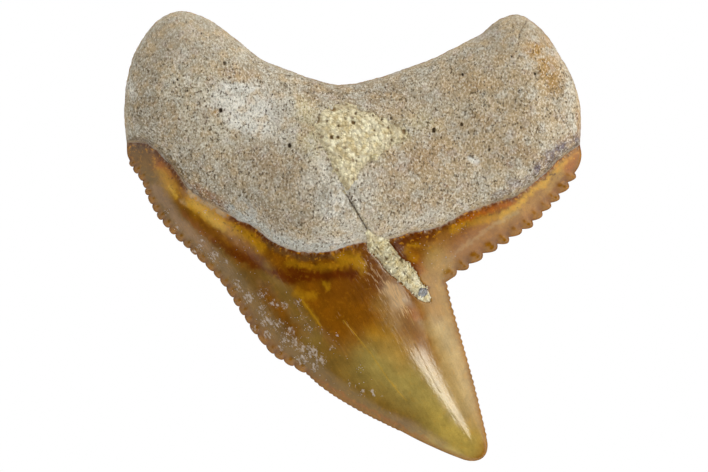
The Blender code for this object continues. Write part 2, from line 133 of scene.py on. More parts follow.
NECK_LINE = [
    (-14.9, 6.1), (-13.8, 6.1), (-12.85, 5.5), (-12.0, 4.65), (-11.3, 3.7), (-10.8, 3.1),
    (-10.0, 2.5), (-9.1, 1.95), (-8.3, 1.45), (-7.5, 1.0), (-6.7, 0.68), (-6.1, 0.2),
    (-5.1, -0.5), (-3.5, -1.05), (-1.5, -1.05),
    (0.1, -0.55), (2.3, -0.25), (4.1, 0.25), (5.6, 0.55), (7.4, 1.5), (9.3, 2.2),
    (10.7, 2.6), (12.3, 3.8), (13.6, 5.0), (14.95, 6.0),
]
OUTER_NECK_LINE = [
    (-14.9, 6.1), (-12.2, 6.9), (-8.5, 7.3), (-4.5, 6.3), (-0.5, 5.7), (3.5, 6.2),
    (7.6, 7.2), (11.6, 7.0), (14.95, 6.0),
]
CREASE_LINE = [(-11.0, 2.4), (-8.6, 0.05), (-6.25, -2.1), (-3.0, -6.1), (0.45, -8.8), (3.1, -10.8)]

# The root's broad swellings and hollows: middle, reach along X and Y, height
ROOT_SWELLINGS = [
    (-1.8, 3.2, 6.0, 4.6, 2.0),
    (-10.6, 8.6, 3.6, 3.6, 0.55),
    (10.2, 9.4, 3.4, 3.2, 0.45),
    (-5.6, 7.4, 1.8, 1.4, -0.22),
    (6.0, 6.6, 2.0, 1.5, -0.2),
    (-9.6, 4.7, 1.5, 1.3, 0.18),
    (5.2, 3.4, 1.6, 1.2, 0.2),
    (13.4, 8.2, 1.1, 2.2, -0.5),
]

# Vessel openings in the root: middle, radius and depth
ROOT_OPENINGS = [
    (-4.15, 5.9, 0.2, 0.2),
    (-8.7, 8.2, 0.2, 0.18),
    (7.1, 7.3, 0.18, 0.15),
    (5.3, 6.95, 0.17, 0.15),
    (7.2, 10.55, 0.17, 0.14),
    (-8.4, 11.3, 0.17, 0.14),
]

# Small pores in the root: middle and radius
PORES = [
    (-10.95, 14.01, 0.07), (-9.92, 13.32, 0.08), (-11.44, 13.06, 0.07), (-12.3, 12.45, 0.07),
    (-10.2, 12.22, 0.08), (-10.52, 11.99, 0.07), (-8.42, 11.31, 0.09), (-8.63, 10.86, 0.07),
    (-8.06, 10.38, 0.08), (-11.51, 10.25, 0.07), (-11.76, 10.04, 0.08), (-12.85, 10.04, 0.07),
    (-10.86, 9.55, 0.09), (-9.22, 9.16, 0.07), (-10.84, 8.36, 0.08), (-8.68, 8.21, 0.13),
    (-5.28, 9.31, 0.07), (-4.83, 9.04, 0.07), (-5.51, 8.78, 0.07), (-5.7, 8.21, 0.09),
    (-4.54, 8.49, 0.07), (-8.57, 6.7, 0.07), (-5.21, 6.66, 0.09), (-4.3, 6.82, 0.07),
    (-4.16, 5.91, 0.15), (-4.19, 4.96, 0.09), (7.2, 10.57, 0.09), (6.38, 8.6, 0.09),
    (7.66, 8.64, 0.07), (7.11, 7.3, 0.12), (5.3, 6.94, 0.11), (8.91, 5.64, 0.09), (7.66, 5.2, 0.11),
    (10.7, 12.09, 0.07), (10.38, 11.77, 0.08), (10.9, 9.54, 0.09), (9.47, 8.38, 0.07),
    (11.96, 10.64, 0.09), (2.5, 7.73, 0.12), (3.36, 6.97, 0.13), (2.5, 6.18, 0.08),
    (6.64, 7.3, 0.07), (10.99, 7.11, 0.09), (10.3, 4.82, 0.07), (5.99, 3.36, 0.09),
    (0.53, 2.83, 0.08), (-0.33, 3.16, 0.08), (0.1, 2.99, 0.09), (-3.36, 6.91, 0.07),
]

SAND_PATCH_EDGE = [
    (-0.75, 8.75), (0.2, 8.75), (1.0, 8.3), (2.95, 7.45), (3.75, 7.0), (3.55, 6.2), (2.3, 5.5),
    (1.65, 4.95), (0.85, 4.45), (0.0, 3.2), (-0.45, 2.85), (-0.8, 3.0), (-1.35, 4.2),
    (-1.95, 5.35), (-2.5, 6.5), (-2.7, 7.7), (-1.95, 8.4),
]
SAND_FILL_EDGE = [
    (0.98, 0.5), (1.4, 0.12), (2.2, -0.2), (2.8, -0.95), (3.15, -1.4), (3.8, -1.95),
    (4.2, -2.4), (4.42, -2.9), (4.8, -3.35), (5.0, -3.85), (5.12, -4.3), (4.75, -4.38),
    (4.2, -4.1), (3.3, -3.2), (2.25, -2.35), (1.85, -1.8), (1.4, -1.25), (0.92, -0.8),
    (0.92, -0.35), (0.84, 0.15),
]

# Dark pits and gaps in the sand: middle and radius
SAND_PITS = [
    (0.52, 8.4, 0.3), (-1.3, 8.3, 0.2), (-2.4, 7.65, 0.3), (0.0, 7.42, 0.17),
    (-1.42, 6.45, 0.16), (-1.0, 6.45, 0.13), (-1.58, 4.84, 0.1), (0.35, 5.13, 0.09),
    (1.9, 7.6, 0.09), (2.5, 6.3, 0.09), (3.3, 6.85, 0.2), (2.2, -1.5, 0.09),
    (-0.5, 7.7, 0.1), (0.15, 8.0, 0.11), (-0.95, 7.2, 0.09), (-1.7, 7.5, 0.1), (2.3, 7.1, 0.1),
    (2.45, 7.7, 0.14), (1.3, 7.9, 0.08), (3.3, 6.35, 0.08), (0.2, 4.9, 0.08), (1.4, 6.9, 0.07),
    (3.12, -1.55, 0.1), (2.62, -1.2, 0.09), (4.65, -3.15, 0.09), (2.9, -2.1, 0.07),
    (3.4, -2.5, 0.06), (3.9, -2.9, 0.06),
]
SAND_GAPS = [
    ((-1.78, 5.13), (-1.58, 4.9)), ((1.28, -0.26), (1.51, -0.66), (1.84, -1.05)),
    ((2.6, -1.15), (2.83, -1.32)), ((2.1, -1.35), (2.3, -1.75)), ((3.0, -1.5), (3.25, -1.75)),
    ((1.3, -0.75), (1.65, -1.2)), ((3.3, -2.35), (3.6, -2.75)),
]

# Pebbles in the sand: middle, radius, and the light and the dark colour
PEBBLES = [
    (4.48, -3.72, 0.32, (190, 191, 190), (128, 133, 140)),
    (1.45, 5.15, 0.2, (240, 230, 190), (206, 190, 130)),
]

# Strokes of fine scuffing on the crown, whose pale hairs on the upper cusp and along the highlight's
# left edge are also painted reflection: half width, how dense, and the line
SCUFF_AND_SHEEN_STROKES = [
    # The first two strokes also paint the pale smear of reflection over scratched enamel on the
    # upper cusp.
    (0.9, 1.15, ((1.0, -2.2), (1.9, -3.2), (2.9, -4.4))),
    (0.5, 1.7, ((2.3, -3.1), (2.8, -3.9), (3.4, -5.0))),
    (0.8, 0.55, ((1.2, -4.6), (2.6, -5.6), (3.8, -7.0))),
    (0.6, 0.6, ((-1.0, -5.0), (0.3, -6.4), (1.8, -8.0))),
    # Scratches along the highlight's left edge whose pale hairs are a painted feathering of the
    # highlight.
    (0.5, 0.7, ((3.6, -6.6), (4.7, -8.4), (6.0, -10.6), (7.2, -12.6))),
    (0.5, 0.5, ((-3.9, -4.5), (-3.1, -5.6))),
    (0.5, 0.45, ((5.4, -4.0), (5.8, -6.4), (6.7, -9.0))),
    (0.4, 0.6, ((4.9, -1.2), (5.6, -1.8), (5.4, -3.0))),
    (0.45, 0.5, ((-9.8, -0.4), (-8.2, -2.0), (-6.9, -3.6), (-5.6, -5.2))),
]

# Where the crown has lost its polish: half width, how dull, and the line
DULL_STROKES = [
    (0.6, 0.8, ((2.3, -3.0), (2.8, -4.0))),
    (0.8, 0.9, ((3.4, -5.0), (3.7, -5.8), (4.0, -6.4))),
    (1.0, 0.2, ((-10.5, 0.0), (-7.0, -3.6), (-4.4, -6.6))),
    (0.8, 0.15, ((5.2, -2.2), (5.6, -4.6), (6.6, -8.2))),
]

# Clusters of pale crumbs on the crown: middle and reach
CRUMBS = [
    (-7.76, -3.09, 0.39), (-6.88, -4.11, 0.46), (-5.93, -3.78, 0.39), (-5.2, -4.45, 0.39),
    (-4.61, -4.51, 0.33), (-6.07, -4.91, 0.39), (-5.74, -5.66, 0.53), (-5.53, -6.51, 0.39),
    (-4.93, -5.86, 0.39), (-4.06, -6.32, 0.39), (-3.72, -6.99, 0.46), (-3.32, -7.33, 0.46),
    (-2.72, -7.53, 0.53), (-2.24, -8.14, 0.46), (-2.51, -8.68, 0.39), (-3.32, -8.14, 0.46),
    (-4.47, -6.78, 0.33), (-4.74, -7.33, 0.33), (-3.66, -4.38, 0.26), (-3.39, -5.32, 0.26),
    (-2.91, -6.05, 0.26), (-2.04, -6.25, 0.2), (1.3, -10.33, 0.33), (-0.23, -9.59, 0.16),
    (0.55, -10.3, 0.2), (1.91, -10.52, 0.13), (2.45, -11.55, 0.1), (0.55, -8.66, 0.2),
    (-1.09, -6.49, 0.13), (-1.38, -7.3, 0.2), (-1.23, -10.16, 0.13), (-12.3, 1.64, 0.26),
    (-11.51, 0.46, 0.26), (-10.07, -0.46, 0.39), (-9.08, -1.32, 0.46), (-10.39, -1.05, 0.26),
    (-8.36, -1.71, 0.26), (-7.43, -3.55, 0.33), (-6.51, -6.18, 0.26), (1.05, -0.6, 0.16),
    (1.25, -1.3, 0.14), (2.45, -2.6, 0.14),
    (3.0, -3.0, 0.16), (5.1, -4.45, 0.12), (0.0, -0.95, 0.14), (-0.7, -1.25, 0.12),
    (4.7, 0.2, 0.14), (3.9, -0.05, 0.1), (7.9, 1.4, 0.08), (-7.3, 0.3, 0.12), (-9.7, 1.6, 0.1),
]

# Spots of chalky dust on the root: middle and reach
CHALK_SPOTS = [
    (-8.5, 8.95, 0.7), (-7.6, 8.5, 0.8), (-6.5, 8.3, 0.7), (-7.6, 7.4, 0.6), (-6.4, 7.1, 0.6),
    (7.9, 4.95, 0.35), (-0.8, 2.3, 0.7), (-14.5, 9.6, 0.3),
]


# Colours and strokes


def linear(red: int, green: int, blue: int) -> Colour:
    """A colour from a maker's chart, 0 to 255 a channel, as linear light."""
    shares = [channel / 255 for channel in (red, green, blue)]
    return tuple(s / 12.92 if s <= 0.04045 else ((s + 0.055) / 1.055) ** 2.4 for s in shares)


class Tint(Enum):
    """The colours of the tooth's bone and enamel."""

    CREAM = linear(192, 181, 157)
    CHALK = linear(232, 230, 220)
    GREY_BONE = linear(208, 202, 188)
    PUTTY = linear(170, 157, 134)
    TAN_BONE = linear(188, 163, 126)
    BROWN_BONE = linear(164, 134, 96)
    STAIN = linear(96, 76, 46)
    KNOB = linear(146, 94, 4)
    OCHRE = linear(172, 130, 62)
    SAND_DUST = linear(200, 186, 144)
    ASH = linear(186, 192, 188)
    SLATE = linear(104, 92, 104)
    RUST = linear(142, 84, 38)
    AMBER = linear(134, 80, 6)
    DEEP_AMBER = linear(112, 62, 4)
    UMBER = linear(98, 40, 1)
    GOLD = linear(196, 143, 18)
    HONEY = linear(212, 164, 52)
    ORANGE = linear(170, 90, 4)
    OLIVE = linear(138, 112, 50)
    GREY_OLIVE = linear(124, 94, 42)
    MOSS = linear(172, 150, 78)
    TAN = linear(174, 136, 66)
    PALE_TAN = linear(190, 164, 112)
    ROSE = linear(160, 110, 50)
    HORN = linear(186, 158, 74)
    LILAC = linear(146, 112, 78)
    PEARL = linear(208, 178, 134)
    BRONZE = linear(124, 92, 30)


@dataclass(frozen=True)
class Wash:
    """One stroke of a tint: it fades out about a width from its line."""

    tint: Tint
    width: float
    line: tuple[Point, ...]
    strength: float = 0.9


BONE_WASHES = [
    Wash(Tint.GREY_BONE, 1.8, ((-4.9, 8.0), (-6.2, 9.0)), 0.65),
    Wash(Tint.PUTTY, 1.2, ((-7.2, 5.2), (-4.4, 5.4)), 0.7),
    Wash(Tint.PUTTY, 1.3, ((-7.2, 2.6), (-5.8, 1.4), (-4.0, 0.6)), 0.9),
    Wash(Tint.TAN_BONE, 2.4, ((5.0, 5.0), (8.5, 6.5), (11.0, 8.0)), 0.75),
    Wash(Tint.TAN_BONE, 1.6, ((7.0, 10.4), (10.0, 12.2), (11.6, 13.2)), 0.8),
    # Putty along the root's left, upper and right margins: painted shade where the bone turns away
    # from the light.
    Wash(Tint.PUTTY, 1.5, ((-13.0, 12.4), (-13.6, 10.6), (-14.0, 8.8)), 0.8),
    Wash(Tint.PUTTY, 1.5, ((-12.6, 13.4), (-11.0, 13.4), (-9.0, 12.6)), 0.85),
    Wash(Tint.PUTTY, 1.3, ((8.8, 12.8), (10.6, 13.6), (12.4, 13.0)), 0.85),
    Wash(Tint.PUTTY, 1.1, ((6.8, 11.2), (8.4, 11.9)), 0.7),
    Wash(Tint.STAIN, 0.5, ((-6.4, 1.2), (-5.3, 0.7)), 0.28),
    # Putty along the top margin and over the left lobe, and the faint stain down the left margin:
    # painted shade on the sides away from the light.
    Wash(Tint.PUTTY, 0.9, ((-6.6, 11.2), (-3.0, 10.0), (1.0, 9.6), (5.0, 11.0)), 0.8),
    Wash(Tint.PUTTY, 1.6, ((-13.4, 7.6), (-11.4, 5.4), (-9.0, 3.6)), 0.8),
    Wash(Tint.STAIN, 1.1, ((-14.2, 11.4), (-14.4, 8.8), (-13.8, 6.8)), 0.14),
    Wash(Tint.BROWN_BONE, 0.8, ((-6.4, 1.4), (-4.8, 0.8)), 0.4),
    Wash(Tint.SAND_DUST, 1.2, ((-0.6, 7.6), (0.2, 6.9), (2.8, 6.7), (0.6, 5.4), (-0.5, 3.4)), 0.6),
    Wash(Tint.SAND_DUST, 0.4, ((-3.3, 8.9), (-2.9, 7.4), (-2.6, 6.2)), 0.6),
    Wash(Tint.SAND_DUST, 0.5, ((3.6, 7.4), (4.8, 7.6), (5.4, 7.2)), 0.5),
    # Putty along the top notch: painted shade where the margin turns away from the light.
    Wash(Tint.PUTTY, 0.75, ((-2.6, 9.5), (0.0, 9.2), (2.6, 9.8)), 0.9),
    Wash(Tint.BROWN_BONE, 0.8, ((2.0, 8.6), (4.2, 8.6), (6.0, 9.6)), 0.3),
    Wash(Tint.CHALK, 1.0, ((-0.9, 2.4), (0.3, 2.1)), 0.65),
    Wash(Tint.CREAM, 0.6, ((-1.6, -0.1), (0.4, 0.2)), 0.7),
    Wash(Tint.BROWN_BONE, 0.75, ((-2.6, 9.5), (0.0, 9.2), (2.6, 9.8)), 0.3),
    Wash(Tint.SAND_DUST, 0.16, ((0.1, 1.85), (0.5, 1.1), (0.9, 0.5)), 0.6),
    Wash(Tint.CHALK, 1.0, ((-2.6, 3.6), (-1.6, 2.2), (-0.4, 1.4)), 0.4),
    Wash(Tint.CHALK, 0.36, ((-8.36, 9.85), (-7.57, 9.79), (-6.58, 9.79))),
    Wash(Tint.CHALK, 0.86, ((-8.62, 8.95), (-7.43, 8.42), (-5.99, 8.16)), 0.7),
    Wash(Tint.CHALK, 0.53, ((-7.96, 7.5), (-6.91, 7.11), (-5.99, 6.97)), 0.75),
    Wash(Tint.GREY_BONE, 0.7, ((-6.25, 1.3), (-5.59, 0.56), (-4.67, 0.0), (-3.49, -0.3),
                               (-2.17, -0.4), (-0.99, -0.1), (-0.2, 0.3)), 0.35),
    Wash(Tint.GREY_BONE, 0.6, ((1.64, 0.3), (2.96, 0.6), (4.41, 1.1), (5.72, 1.8)), 0.45),
    Wash(Tint.GREY_BONE, 0.9, ((-1.2, 2.7), (0.2, 3.3), (1.6, 3.9)), 0.8),
    Wash(Tint.CHALK, 0.6, ((-1.6, 1.4), (-1.0, 2.4), (-0.8, 3.2)), 0.6),
    Wash(Tint.CHALK, 0.5, ((-2.2, 5.2), (-1.6, 4.0)), 0.4),
    Wash(Tint.SAND_DUST, 0.8, ((-3.1, 8.1), (-3.0, 6.8), (-2.6, 5.8)), 0.6),
    Wash(Tint.BROWN_BONE, 0.7, ((1.6, 8.2), (3.2, 7.6)), 0.4),
    Wash(Tint.GREY_BONE, 0.5, ((-1.2, -0.5), (0.3, -0.15)), 0.8),
    Wash(Tint.CHALK, 0.22, ((7.7, 5.13), (8.09, 4.8))),
    Wash(Tint.BROWN_BONE, 1.3, ((12.9, 11.4), (13.8, 9.4), (14.2, 7.0)), 0.25),
    Wash(Tint.GREY_BONE, 0.5, ((13.36, 11.58), (13.82, 9.93), (14.08, 8.29), (14.01, 7.2)), 0.35),
    Wash(Tint.CHALK, 0.26, ((-14.61, 9.93), (-14.41, 9.28)), 0.5),
    Wash(Tint.BROWN_BONE, 0.5, ((-8.36, 10.66), (-7.43, 10.46), (-6.32, 10.33)), 0.6),
    Wash(Tint.BROWN_BONE, 0.3, ((-9.67, 8.16), (-9.14, 8.16)), 0.6),
    Wash(Tint.BROWN_BONE, 0.23, ((-11.84, 8.42), (-11.71, 7.76)), 0.5),
    Wash(Tint.BROWN_BONE, 1.05, ((-5.99, 5.0), (-5.13, 4.21), (-4.14, 3.82)), 0.5),
    Wash(Tint.TAN_BONE, 0.8, ((-3.9, 2.9), (-3.4, 2.04), (-2.8, 1.0)), 0.4),
    Wash(Tint.GREY_BONE, 0.8, ((-2.9, 3.0), (-2.4, 2.0)), 0.5),
    Wash(Tint.BROWN_BONE, 1.0, ((1.4, 4.3), (3.4, 5.2), (5.2, 5.6)), 0.35),
    Wash(Tint.BROWN_BONE, 0.9, ((3.4, 1.8), (5.4, 2.2), (7.0, 2.8)), 0.3),
    Wash(Tint.BROWN_BONE, 0.9, ((10.2, 5.3), (11.9, 5.0)), 0.45),
    Wash(Tint.BROWN_BONE, 0.8, ((2.96, 5.0), (3.88, 4.61), (4.93, 5.13)), 0.55),
    Wash(Tint.BROWN_BONE, 0.7, ((2.4, 3.4), (3.22, 2.37), (4.14, 2.04)), 0.45),
    Wash(Tint.BROWN_BONE, 0.39, ((5.39, 5.79), (6.05, 5.39)), 0.5),
    Wash(Tint.BROWN_BONE, 0.3, ((8.36, 7.76), (9.01, 7.43)), 0.6),
    Wash(Tint.BROWN_BONE, 0.39, ((10.99, 5.66), (11.51, 5.53)), 0.5),
    Wash(Tint.RUST, 0.18, ((10.2, 4.87), (10.46, 4.61)), 0.6),
    Wash(Tint.SLATE, 0.26, ((10.2, 3.68), (10.59, 3.42)), 0.5),
    Wash(Tint.OCHRE, 0.3, ((12.04, 12.11), (12.43, 11.71))),
    Wash(Tint.OCHRE, 0.5, ((12.63, 10.92), (12.96, 10.26))),
    Wash(Tint.OCHRE, 0.8, ((11.9, 12.2), (12.9, 11.2), (13.2, 9.9)), 0.75),
    Wash(Tint.OCHRE, 0.5, ((7.6, 9.9), (9.6, 9.9), (11.4, 10.6)), 0.35),
    Wash(Tint.OCHRE, 0.3, ((12.63, 13.03), (13.09, 12.5)), 0.5),
    Wash(Tint.OCHRE, 0.2, ((-9.28, 8.16), (-9.01, 8.09)), 0.8),
    Wash(Tint.RUST, 0.1, ((6.05, 3.36), (6.12, 3.22)), 0.8),
    Wash(Tint.ROSE, 0.16, ((14.8, 8.16), (14.87, 7.11), (14.84, 6.18)), 0.6),
    Wash(Tint.BROWN_BONE, 0.3, ((-12.0, 4.9), (-11.4, 4.0), (-10.9, 3.3)), 0.8),
    Wash(Tint.STAIN, 0.4, ((-12.1, 5.0), (-11.5, 4.3), (-10.9, 3.6), (-10.6, 3.3)), 0.5),
    Wash(Tint.RUST, 0.42, ((-10.4, 3.1), (-9.8, 2.7), (-9.0, 2.2), (-8.4, 1.75)), 0.75),
    Wash(Tint.ASH, 0.36, ((-8.0, 1.8), (-7.3, 1.3), (-6.3, 0.7), (-5.4, 0.0), (-4.2, -0.5),
                          (-2.6, -0.8), (-0.8, -0.7)), 0.72),
    Wash(Tint.STAIN, 0.7, ((-6.2, 1.9), (-5.2, 1.2)), 0.12),
    Wash(Tint.ASH, 0.6, ((-7.4, 1.9), (-6.6, 1.4)), 0.5),
    Wash(Tint.SLATE, 0.5, ((14.5, 6.3), (13.8, 5.9), (13.0, 5.2), (12.4, 4.5)), 0.95),
    Wash(Tint.SLATE, 0.26, ((12.4, 4.5), (11.2, 3.5), (10.2, 3.0), (9.2, 2.6)), 0.5),
    Wash(Tint.SLATE, 0.16, ((-14.61, 6.32), (-14.01, 6.3), (-13.2, 5.9)), 0.6),
]

